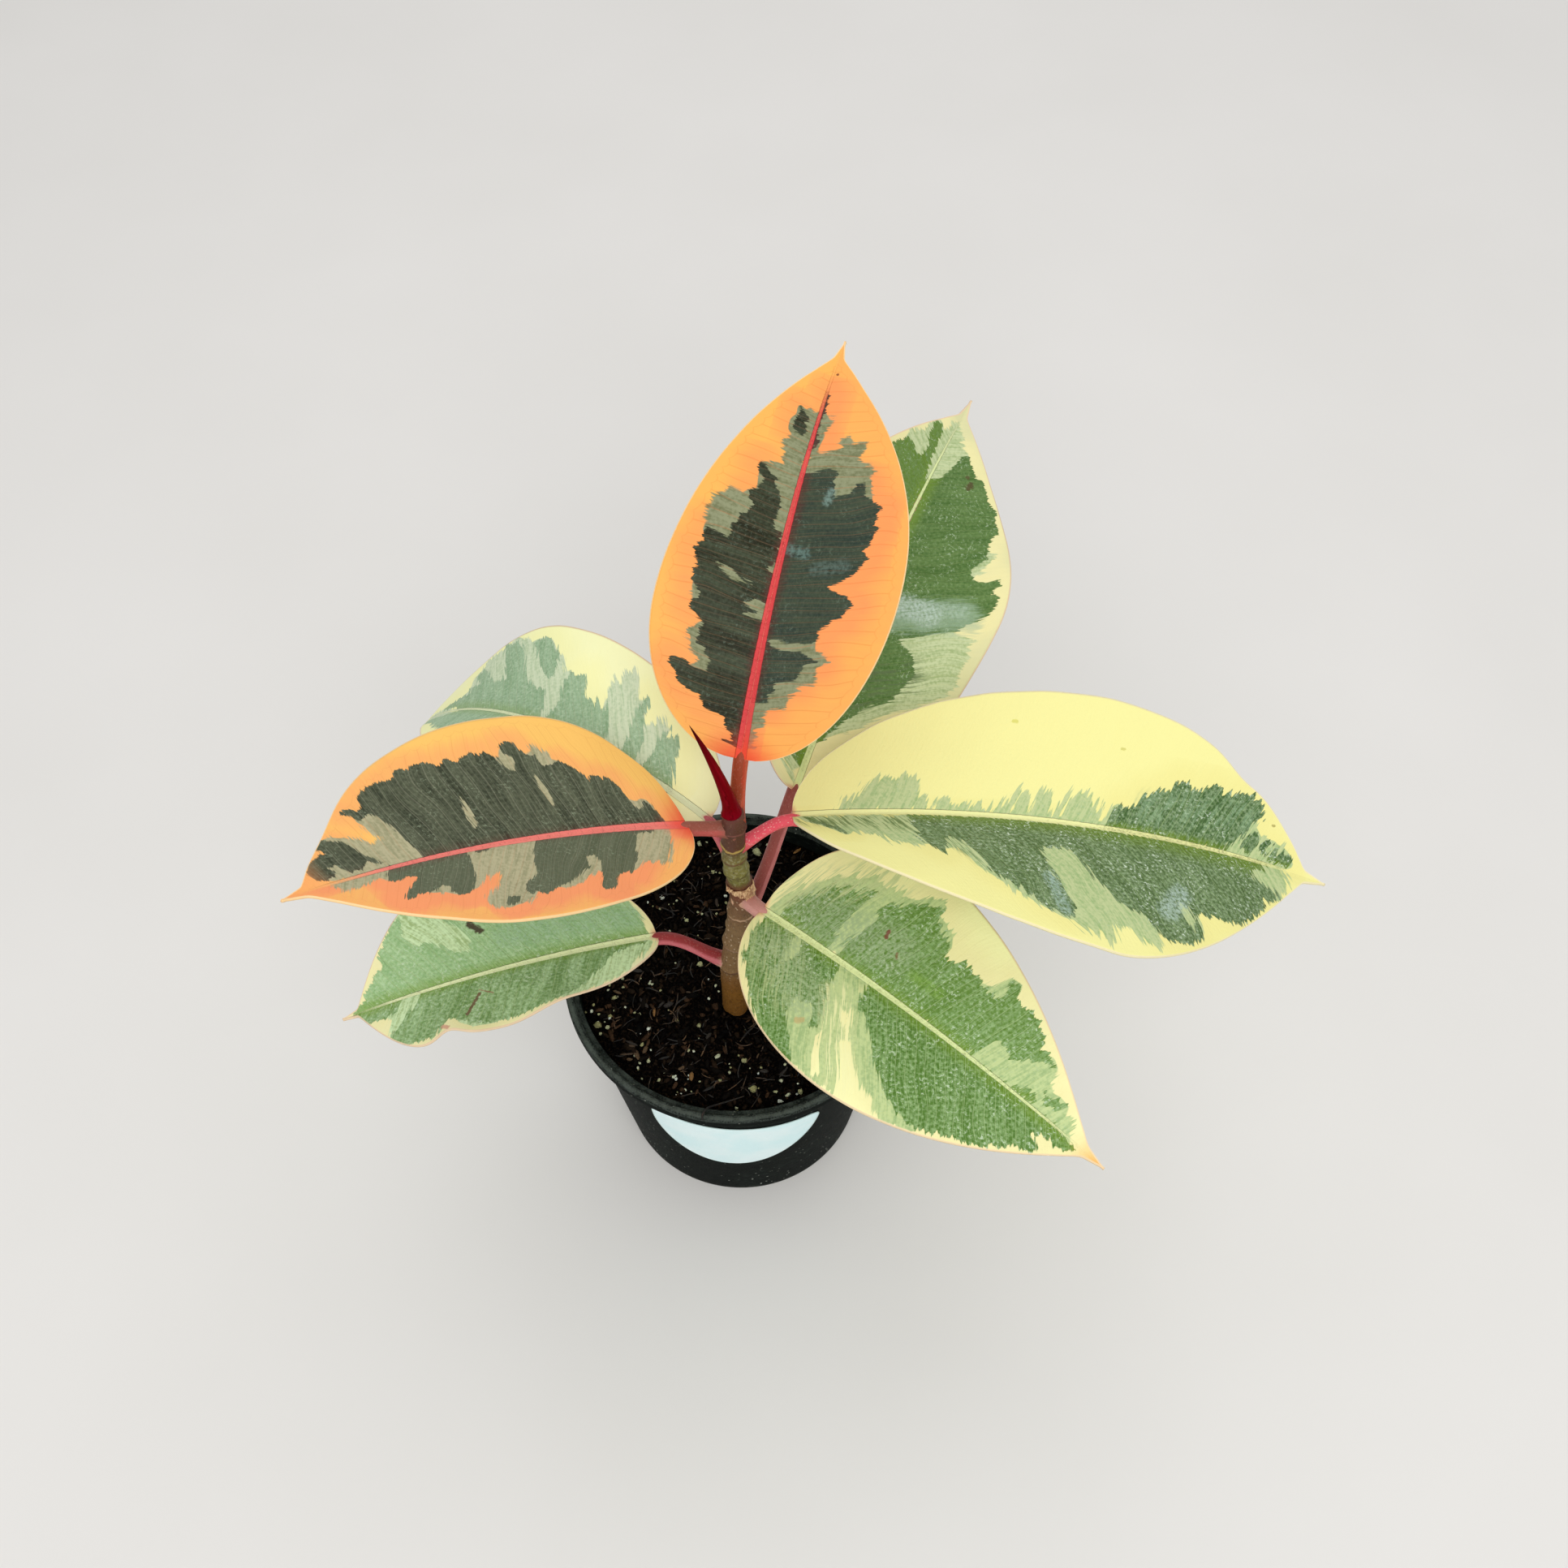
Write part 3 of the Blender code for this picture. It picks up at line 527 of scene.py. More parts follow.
# %% Outlines of the five older leaves
PATCHES["leaf_right"] = (
    ("grey", "10,0 13,4 17,6 19,8.6 21,10.6 24,12 25.6,11 28,11.4 30,11.6 31.6,9.6 33,6 34,2 34,0"),
    ("grey", "35,0 36.6,3.6 38.4,4.4 40,3 42,3.4 44,3 46.6,4 47.6,2.4 49,1.4 50,2.6 52,3.4 53,3 "
     "54,5 54.6,2.6 56,5.6 58,7.4 59.4,5.6 59.8,2 61,4.6 63,7.2 65,8.8 65.4,6.4 67,5.4 66,2 "
     "68,3.4 70,7.4 72,8.6 74.4,9.6 76,8 78,8.4 77.4,5 79,2 81,6.4 83,7.4 84,0 60,-0.5"),
    ("grey", "113,0 116,4 119,8.4 121,9.6 123,6.6 126,6 130,6.6 131,4 133,1.4 128,0"),
    ("grey", "2,-1.6 4,-2 8,-2.6 12,-2.4 20,-2 28,-2.6 30,-9 29,-14 31,-16.6 30,-19 27,-17.6 "
     "24,-18.4 20,-15 16,-13.4 13,-15 11,-13 7,-8 4,-6"),
    ("grey", "33,-16 37,-18 40,-21 43,-24.6 46,-27.4 50,-31 54,-33.4 57,-34.6 60,-36 64,-36.8 "
     "66,-39.6 70,-39.6 72,-41 74.6,-40 74.6,-36 78,-35.6 81,-38 84,-39 87,-37 86,-34 84,-29 "
     "80,-27.4 75,-25 72,-19 69,-12 66,-10 60,-10 50,-14 42,-10 36,-10 34,-13"),
    ("grey", "121,-3.6 124,-2.4 126,0 130,0 132.6,-1.4 132,-5 130,-8 127,-10.6 125,-8 121.4,-5.6"),
    ("green", "79.6,0 82,4.4 84,6.6 88,7.4 89.4,9 90.2,10.6 90.6,9 92,11 95,13 97.4,14 99.6,16.4 "
     "101.4,16.6 103.4,14.6 105,14.6 107.6,17 109.4,17.6 111,16.4 112.6,15.6 116,16.8 119,17 "
     "121.6,16 123,13.6 122.6,11.6 120.4,9.8 119,8 117.4,6 116,4.4 114,2 112.6,0"),
    ("green", "117.6,2.6 119,6 121.4,7.4 122.6,5.6 124.6,6.2 126.6,6 124.4,4 125,2.6 121.6,3.4 "
     "119.6,1.6"),
    ("green", "125.6,1.4 127,3.6 129,4 132.4,4.4 133.6,2.2 132,0.8 129,1 127.6,0.7"),
    ("green", "27,-1.5 29,-9 29.6,-14 31.6,-17 33.4,-20 35.6,-21.4 36,-18 36.4,-14 38,-12 41,-16 "
     "44,-20.6 45,-25 48,-27.8 51,-29 53,-31 56,-33.8 59,-35 62,-36.6 65,-35.4 65,-32 63,-28 "
     "61,-23 60.4,-18 60,-14 62,-12.6 66,-11.6 67.6,-12.6 70,-17 72,-21.4 74.6,-24.6 76,-27.2 "
     "80,-28.4 84,-30 86.4,-33 88,-34.8 92,-35 95,-34.8 98,-33 100.4,-31 101,-28 100,-25 "
     "101,-23.6 104,-24 106,-24.4 108.6,-23.4 112,-23 115,-21.8 118,-20 121,-16 123.6,-13.4 "
     "126,-11.6 128,-10 127,-8.4 124,-7.6 121,-5.6 121,-3.4 124,-2.4 126,0"),
    ("green", "2.6,-2 4,-6 7,-9.6 10,-12 12.4,-14.4 11,-11 8,-7.6 5,-2.6"),
    ("window", "94,-22 97,-23.4 99,-27 98,-29.6 95.6,-27"),
    ("bare", "121.4,-12.8 123.6,-12.4 125,-13.2 122,-14"),
)
PATCHES["leaf_front_right"] = (
    ("grey", "2,0 3,6.6 4,9.4 5.4,7.6 6,11 7.4,10 8,13 10,14.6 11.6,15.6 13.4,18 15,18.2 "
     "16.6,21 18,20 20,22.6 22.4,23 24,21.4 26,22.6 28,22 30,23 32,22.8 34,23 36,25.4 38.6,26.4 "
     "41,26 40,23 42,22.6 43.6,22.4 46,21 47.4,18.6 46,15 40,10 30,4 20,0"),
    ("grey", "60,15 62,18.4 64,21 66.4,21.4 66,18 68,16 66,14"),
    ("grey", "66,0 68,4 69,7.4 71,8 73.6,6.4 75,6.6 78,8 80,9.4 83,11.2 85.4,10.6 86,8.4 88,6 "
     "90,5.6 93,4.4 96,3 97,0 80,-0.4"),
    ("grey", "27,0 28.4,-6 30,-10 31,-13.6 26,-15 25,-18 28,-22 32,-25.4 35,-28 38,-30 44,-30.4 "
     "48.6,-28.6 47,-25 44,-21 41,-17.6 43,-15.6 46,-18.6 50,-21.6 54,-24 58,-26 62,-27 66,-26 "
     "69,-24 64,-22 58,-21 54,-18.6 50,-14 46,-10.6 41,-6 36,-4 35,0"),
    ("green", "5,0 6,5 8,8.6 10,12 12,13.6 13,16 15,15.4 17,17.6 19,17 20,19.2 22,18.8 24,20.4 "
     "24.4,19 23,16 22,12 21.6,5 22.4,0 25,0 25,6 27,10 28,14 27,17 29,19.6 31,19.4 33,21.6 "
     "36,23.6 39,25.4 40.6,25 40,22.6 42.6,21.8 43.4,19.6 45.6,20.6 47,18.6 48,15.6 50,16 52,17.4 54,17.6 "
     "56,16.4 58,16.8 60,15.6 63,15 65,17 64.4,20.4 67,20.4 67.6,18.2 70,17.4 71.6,18 75,17 "
     "77.6,15.2 79,13.4 80,12.4 83,12.2 84,10.8 80,9 77,6.6 75,5.8 71,7.4 69.4,6.2 68,3 66,0"),
    ("green", "79,1.2 81.6,1.6 82,3 84.6,3 85.6,1.4 84,0.4 81,0.4"),
    ("green", "86,5 88,3.6 89.6,5.4 92,5.4 91,3.4 88,2 87,3"),
    ("green", "2,0 3,-6 6,-13.4 10,-17 15,-21 18,-24 22,-26.4 26,-28 30,-29 36,-29.4 30,-24 "
     "26,-20 25,-15 30,-14 33,-19 35,-19 33,-14 31,-10 29,-5 27.6,0"),
    ("green", "36,0 38,-6.4 42,-8.6 46,-12.6 50,-15.6 53,-18 57,-21 62,-22.6 66,-23.4 70,-22.6 "
     "73,-20.4 78,-18.6 83,-15.8 85,-13.6 89,-10.6 92,-9.4 93,-7 90,-5.4 92,-3.6 96,-4.2 "
     "98,-2.8 100,-1.2 90,0.3"),
    ("window", "12.6,-1 13.6,-5 15.4,-10 16.6,-6 16,-1"),
    ("bare", "38,-9 42,-15 48,-20 54,-24.6 57,-26 54,-28.6 49,-29.4 47,-27 48.6,-24.4 45,-20 "
     "41,-15.4 37,-11"),
    ("bare", "34,-15 38,-21 43,-27 42,-28.6 38,-25"),
)
PATCHES["leaf_rear_right"] = (
    ("grey", "16,0 20,-8 25,-12 29,-15 33,-20 38,-26 43,-30 47,-31 51,-30.4 55,-31 59,-30 "
     "61.4,-30.8 60.6,-27 59.4,-23 57,-18.4 53.8,-13.4 51,-9 40,-5 28,-2"),
    ("grey", "100,0 104,-4 108,-6.6 112,-7 115,-6 118,-4 121,-1.6 124,0 122,1.6 116,3 110,2.6 "
     "105,1.6"),
    ("grey", "104,7 106,11 109,12.4 112,8.6 117,7 119,5.4 117,3.6 112,5.6 106,6"),
    ("grey", "79,-22 80,-24 84,-25.4 88,-26 87,-23 82,-21.4"),
    ("grey", "2,1 4,4 7,8 10,10 14,13 20,15 30,19 42,21 52,24 60,23 50,10 20,6"),
    ("green", "6,0 8,5 12,8 16,9 20,13 24,13.6 28,17.4 33,17 38,20.6 43,19.6 48,23 54,22.4 "
     "60,24 66,22 72,23.5 78,20.6 82,21.5 90,19 96,17 101,15.5 104,13.2 107,11.4 106.4,9 "
     "104.6,7.2 106,5 110,5 113,6.4 118,6.4 118.6,4.4 116,3 108,2.2 100,1 102,-2 106,-4 "
     "112,-5 115,-6.6 112.6,-9 110,-12 109.6,-14.6 107,-16.6 104,-18.6 103,-21.6 100,-22.2 "
     "96,-24 92,-23.2 86,-24.2 83,-22.4 80,-21 77.4,-24 78,-26 80,-28.4 82,-29.4 79.6,-30.8 "
     "75.6,-29 76,-31.6 73,-31.8 69,-30.8 66,-28.4 62,-25.4 59,-22 56,-17.6 53,-14 50,-11 "
     "49.6,-14 48,-16.6 44,-19 40,-17.8 37,-16.8 34,-16 31,-13 28,-9 24,-7 18,-3.4 12,0"),
)
PATCHES["leaf_rear_left"] = (
    ("grey", "22,0 23,-9 24,-14.6 26,-16.4 27,-13 28.4,-7 30,0"),
    ("grey", "28.6,0 30.6,-12 35,-18 38,-22.4 40.4,-24 42,-22 41.6,-19 44,-19.4 43,-15 40,-11 "
     "37,-8 34,0"),
    ("grey", "52,0 53,-8 56,-15.6 59,-18 62,-20.4 66,-21 70,-25 76,-24.6 81,-25.6 86,-26.4 "
     "84,-22 79,-18 75,-14 72,-9 66,-6 58,0"),
    ("grey", "74,-7 79,-13 83,-19 88,-22 93,-20 95,-18 92,-15 94.6,-13 93,-10 90,-8 92,-6 88,-3 "
     "76,0"),
    ("grey", "96,-1 104,-1.6 110,-0.6 112,0.6 106,2 98,3 90,2.6"),
    ("grey", "12,3 16,8 20,12 24,11 28,17 33,18 37,15 42,20 48,19 54,21 60,17 66,18 72,15 70,0"),
    ("green", "12,0 14,-3 16,-7 18,-11.6 20,-13.4 21.6,-12 22.4,-15 23.4,-12 22.6,-7 22.6,-1 "
     "25,-1 26,-8 28,-10.6 30,-14 31.6,-18.4 33,-18.6 33,-14 31,-9 29.6,-1 34,-1 36,-6.4 "
     "39,-10 41,-12.4 40.6,-9 44,-11.6 47,-12 49,-14.4 51.6,-17.4 54.6,-16.4 56.4,-17.6 "
     "56,-13 53.4,-8 53.6,-2 55,-1 57,-6 60,-10 66,-11 70,-13 74,-17 77,-20 80,-22.6 84,-25 "
     "86,-24 89,-24.4 85,-20 81,-15 78,-11 80,-10 86,-12 91,-15.6 94,-15 93,-12 89,-9.6 "
     "92,-8.4 90,-6.4 93,-5 97,-3.6 100,-1.4 92,-1 88,0.4 95,2 104,1.6 110,0.8 106,3.4 "
     "100,4.6 94,6.6 88,8.6 85,9.8 80,10.4 74,12 68,12 62,15.6 55,14 50,17.4 44,14 38,16 "
     "32,12 27,13 22,8 16,6"),
    ("green", "60,-13.6 62,-18 64,-21.6 68,-24.4 71,-26 74,-26.2 75.4,-24.6 72,-21 68,-17 "
     "64,-14.4"),
    ("bare", "86,9.6 88,12 92,12.4 98,10 102,6.8 98,6.6 92,8.4"),
    ("bare", "94,-5 98,-4.6 102,-4.2 106,-2.8 104,-5 98,-6.4"),
)
PATCHES["leaf_lower_left"] = (
    ("grey", "1.6,2 3,4.4 6,6.8 10,9.6 15,11.9 20,13.9 26,15.9 30,16.2 24,10.4 18,7.4 14,4.8 8,1.6"),
    ("grey", "45,14 50,16.6 54,17 57,14.6 56,12 50,13"),
    ("grey", "48.6,-5 49,-10 50.4,-14.6 53,-18.4 57,-21.6 62,-24 66,-24.6 67,-20 67.6,-17.4 "
     "64,-12 60,-11.4 57,-8 54,-6"),
    ("grey", "64,0 66,3 68,5.6 71,6.4 73,9 75,10.6 74,5 71,1.6 68,-0.4"),
    ("green", "2,0 4,2.4 8,2.4 14,4.4 18,8 22,11 26,14 31,16 38,16.8 44,17 50,17 "
     "54,16.4 56.6,14.4 58.4,12.8 60.4,13.4 62,14.6 64,17 68,16.2 72,15.4 75,12.6 74.6,10.4 72,8.6 70,5.6 "
     "67,3.6 65.4,0 70,0 72,4.4 76,5 80,4.8 82,3 83.6,0.4 83,-1 80,-3 78,-6 75,-9 73,-11 "
     "74,-13.4 72,-16 70,-19 68,-22 66,-22.6 65.6,-19.6 66.4,-17 63.6,-13.4 60,-13.6 57,-11 "
     "54,-8.4 50,-7 49.4,-10 51,-14 54,-18 58,-20.6 54,-23 50,-24 45,-26.6 40,-26 35,-27.4 "
     "30,-26 25,-25.6 20,-23 16,-21.4 11.4,-18 7.8,-15 4.9,-11 2.6,-5"),
    ("bare", "74,10.4 75,9 78,6.4 80,5 80,8 77,12"),
    ("bare", "76,-9 79,-6.6 81,-4 80,-7 76,-12"),
)
print("patches on all leaves:", sum(map(len, PATCHES.values())))

# %% [markdown]
# An outline can't be read by a material, but a distance can: each point of the blade stores how
# far inside a colour it lies, in millimetres, and less than 0 means outside. The material turns
# that into a crisp edge and adds the finest teeth itself, so the blade needs no tiny faces.

# %% From outlines to distances
FAR_OUT = -9.0
SEARCH_MARGIN = 5.0
HIDDEN_OVERLAP = 0.7


def read_outline(text):
    return np.array([[float(part) for part in pair.split(",")] for pair in text.split()])


def depth_inside(points, outline):
    """Each point's distance to the outline, positive inside it."""
    start, end = outline, np.roll(outline, -1, axis=0)
    edge = end - start
    away = points[:, None, :] - start[None]
    share = np.clip((away * edge).sum(-1) / np.maximum((edge**2).sum(-1), 1e-9), 0.0, 1.0)
    distance = np.sqrt(((away - share[..., None] * edge) ** 2).sum(-1).min(1))
    x, y = points[:, :1], points[:, 1:]
    spans = (start[:, 1] > y) != (end[:, 1] > y)
    rise = np.where(edge[:, 1] == 0.0, 1e-9, edge[:, 1])
    crossing = start[:, 0] + (y - start[:, 1]) * edge[:, 0] / rise
    inside = (spans & (x < crossing)).sum(1) % 2 == 1
    return np.where(inside, distance, -distance)


def paint_patches(points, patches):
    """How deep each point lies in green and in grey, with later patches over earlier ones."""
    depths = {"green": np.full(len(points), FAR_OUT), "grey": np.full(len(points), FAR_OUT)}
    for kind, text in patches:
        outline = read_outline(text)
        low, high = outline.min(0) - SEARCH_MARGIN, outline.max(0) + SEARCH_MARGIN
        near = ((points > low) & (points < high)).all(1)
        depth = np.full(len(points), FAR_OUT)
        depth[near] = depth_inside(points[near], outline)
        if kind in depths:
            depths[kind] = np.maximum(depths[kind], depth)
            continue
        depths["green"] = np.minimum(depths["green"], -depth)
        if kind == "window":
            depths["grey"] = np.maximum(depths["grey"], depth + HIDDEN_OVERLAP)
        else:
            depths["grey"] = np.minimum(depths["grey"], -depth)
    return depths


corner = depth_inside(np.array([[1.0, 1.0], [5.0, 1.0]]), read_outline("0,0 4,0 4,4 0,4"))
print("inside and outside a square:", corner)

# %% [markdown]
# ## The blades
# A blade could be cut from a flat sheet and bent. Here a fine grid is laid over the leaf's own
# share and across, so its rows follow the side veins' direction and its edge is exact. The grid
# then gets a thickness, with one finish for its face and its rim, and one for its back.

# %% Helpers for pieces
WELD_DISTANCE = 0.000001


def select_only(*things):
    bpy.ops.object.select_all(action="DESELECT")
    for thing in things:
        thing.select_set(True)
    bpy.context.view_layer.objects.active = things[-1]


def add_grid(name, columns, rows):
    """A flat square from -1 to 1 each way, to be laid on a form."""
    bpy.ops.mesh.primitive_grid_add(x_subdivisions=columns, y_subdivisions=rows, size=2.0)
    grid = bpy.context.object
    grid.name = name
    return grid


def thicken(sheet, thickness, offset):
    """Millimetres of thickness: outward where offset is 1, inward at -1, and both ways at 0."""
    step = sheet.modifiers.new("Thickness", "SOLIDIFY")
    step.thickness = thickness * MM
    step.offset = offset
    return step


def apply_modifiers(thing):
    select_only(thing)
    for step in list(thing.modifiers):
        bpy.ops.object.modifier_apply(modifier=step.name)


def weld(thing, distance=WELD_DISTANCE):
    select_only(thing)
    bpy.ops.object.mode_set(mode="EDIT")
    bpy.ops.mesh.select_all(action="SELECT")
    bpy.ops.mesh.remove_doubles(threshold=distance)
    bpy.ops.mesh.normals_make_consistent(inside=False)
    bpy.ops.object.mode_set(mode="OBJECT")


def get_points(mesh):
    flat = np.empty(len(mesh.vertices) * 3)
    mesh.vertices.foreach_get("co", flat)
    return flat.reshape(-1, 3)


def set_points(mesh, points):
    mesh.vertices.foreach_set("co", np.ascontiguousarray(points, dtype=float).ravel())
    mesh.update()


def store(mesh, name, values):
    """Keep one number, or one row of three, at every point of a mesh."""
    values = np.asarray(values, dtype=np.float32)
    kind, field = ("FLOAT", "value") if values.ndim == 1 else ("FLOAT_VECTOR", "vector")
    mesh.attributes.new(name, kind, "POINT").data.foreach_set(field, values.ravel())


def settle(piece, node, materials):
    """Dress a finished piece, let it ride on the plant, and let it stand for its plain node."""
    select_only(piece)
    bpy.ops.object.transform_apply(location=True, rotation=True, scale=True)
    piece.data.materials.clear()
    for material in materials:
        piece.data.materials.append(material)
    bpy.ops.object.shade_smooth()
    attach(piece, "root")
    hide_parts(node)


print("helpers are ready")

# %% The blade's mesh
BLADE_STEP = 0.75
BLADE_THICKNESS = 0.6
GROOVE_DEPTH = 0.3
GROOVE_WIDTH = 1.5
RIPPLE = 0.35
RIPPLE_SIZE = 11.0
RIPPLE_START = 6.0
# how far the side veins lean toward the tip, on the left and on the right of the midrib
VEIN_LEANS = {
    "leaf_top": (0.12, 0.24), "leaf_left": (0.85, 0.06), "leaf_rear_right": (0.5, 0.65),
    "leaf_right": (0.5, 0.45), "leaf_front_right": (0.35, 0.75), "leaf_rear_left": (0.7, 0.85),
    "leaf_lower_left": (0.5, 0.55)}
VEIN_WANDER = 0.2
HALF_APART = 40.0


def slow_noise(x, y, layer):
    """Soft noise from 0 to 1 at many places, for what changes over millimetres."""
    return np.array([0.5 + 0.5 * noise.noise(Vector((a, b, layer))) for a, b in zip(x, y)])


def growth_of(flat, leans):
    """Which side vein runs through a place, how light its band is, and how cloudy it is."""
    along, sideways = flat.T
    reach = np.abs(sideways)
    vein = along - reach * np.where(sideways > 0.0, *leans)
    vein += (slow_noise(along / 9.0, sideways / 14.0, 9.0) - 0.5) * reach * VEIN_WANDER
    band = slow_noise(vein / 3.0, (reach + np.sign(sideways) * HALF_APART) / 18.0, 23.0)
    return np.column_stack([vein, band, slow_noise(along / 8.0, sideways / 8.0, 33.0)])


def add_blade(name, leaf, patches, leans):
    """A grid laid on the leaf's form, with its places and patch depths stored on it."""
    width = leaf.halves["left"][0] + leaf.halves["right"][0]
    blade = add_grid(name, round(leaf.length / BLADE_STEP), round(width / BLADE_STEP))
    grid = get_points(blade.data)
    # the rows of cells are closer together near the base and the tip
    even = (grid[:, 0] + 1.0) / 2.0
    share = (even + 0.5 - 0.5 * np.cos(math.pi * even)) / 2.0
    across = grid[:, 1]
    points = leaf.place(share, across)
    distance = leaf.distance(share, across)
    groove = GROOVE_DEPTH * np.exp(-((distance / GROOVE_WIDTH) ** 2)) * (1.0 - share) ** 0.3
    ripple = np.array([noise.noise(Vector(point) / RIPPLE_SIZE) for point in points]) * RIPPLE
    ripple = ripple * np.minimum(1.0, distance / RIPPLE_START)
    points += leaf.axes(share)[2] * (ripple - groove)[:, None]
    set_points(blade.data, points * MM)
    edge = leaf.distance(share, np.sign(across)) - distance
    flat = np.stack([share * leaf.length, np.sign(across) * distance], -1)
    store(blade.data, "blade", np.column_stack([flat, edge]))
    store(blade.data, "growth", growth_of(flat, leans))
    for kind, depth in paint_patches(flat, patches).items():
        store(blade.data, kind, depth)
    step = thicken(blade, BLADE_THICKNESS, -1.0)
    step.material_offset = 1
    step.material_offset_rim = 0
    apply_modifiers(blade)
    return blade


print("grid steps along a blade, mm:", BLADE_STEP)

# %% [markdown]
# The finish reads the stored places. `vein` is where the side vein through a point leaves the
# midrib, so stripes of one `vein` run along the side veins. The teeth, the streaks and the vein
# lines are all noise or steps in `vein`, which is how the real patches grew.

# %% The leaf's finish
VEIN_GAP = 3.0
FACE_SPECULAR, BACK_SPECULAR = 0.16, 0.1
YOUNG = dict(
    margin=(250, 180, 88), warm=(250, 154, 88), grey=(142, 146, 112), grey_2=(112, 116, 80),
    green=((30, 32, 10), (42, 56, 46)), green_2=(72, 82, 60), midrib=(220, 68, 70), rib=(1.4, 0.2),
    flush=(240, 76, 48), flush_reach=11.0, rim=(252, 216, 160), rim_width=0.24, net=(190, 96, 36),
    net_share=0.24, warm_sides=(-0.1, 0.3), dark_line=(112, 90, 66), line_share=0.42,
    teeth=(0.5, 0.45, 0.25), mottle=0.3, glint=(120, 140, 124), back=(232, 160, 120),
    back_share=0.35, rib_shade=(92, 42, 36), shade_reach=(2.8, 3.4), shade_share=0.6, pucker=0.5,
    tip=(250, 168, 96), tip_reach=4.0, marks=())
OLDER = dict(
    margin=(247, 242, 184), warm=(242, 234, 172), grey=(190, 206, 154), grey_2=(158, 184, 124),
    green=((92, 128, 56), (88, 124, 60)), green_2=(144, 176, 116), midrib=(226, 240, 172),
    rib=(1.0, 0.2), flush=(214, 112, 100), flush_reach=3.0, rim=(236, 208, 174), rim_width=0.36,
    net=(216, 204, 120), net_share=0.08, warm_sides=(0.0, 0.0), dark_line=(176, 204, 140),
    line_share=0.5, teeth=(0.8, 0.45, 0.2), mottle=0.8, glint=(206, 222, 196),
    back=(176, 196, 150), back_share=0.5, rib_shade=(120, 152, 46), shade_reach=(3.4, 4.2),
    shade_share=0.6, pucker=1.0, tip=(240, 226, 160), tip_reach=2.0, marks=())


def spot_mask(along, sideways, ends, radius, ragged):
    """1 along a short line on the blade, given by its two ends, and 0 a radius away from it."""
    x0, y0, x1, y1 = ends
    span = max((x1 - x0) ** 2 + (y1 - y0) ** 2, 1e-6)
    share = clamp((along - x0) * ((x1 - x0) / span) + (sideways - y0) * ((y1 - y0) / span))
    away = straight(along - x0 - share * (x1 - x0), sideways - y0 - share * (y1 - y0))
    return soften(away + (ragged - 0.5) * (radius * 1.4), radius, radius * 0.4)


def side_values(left, pair):
    """The first of a pair on the left half and the second on the right."""
    return left * (pair[0] - pair[1]) + pair[1]


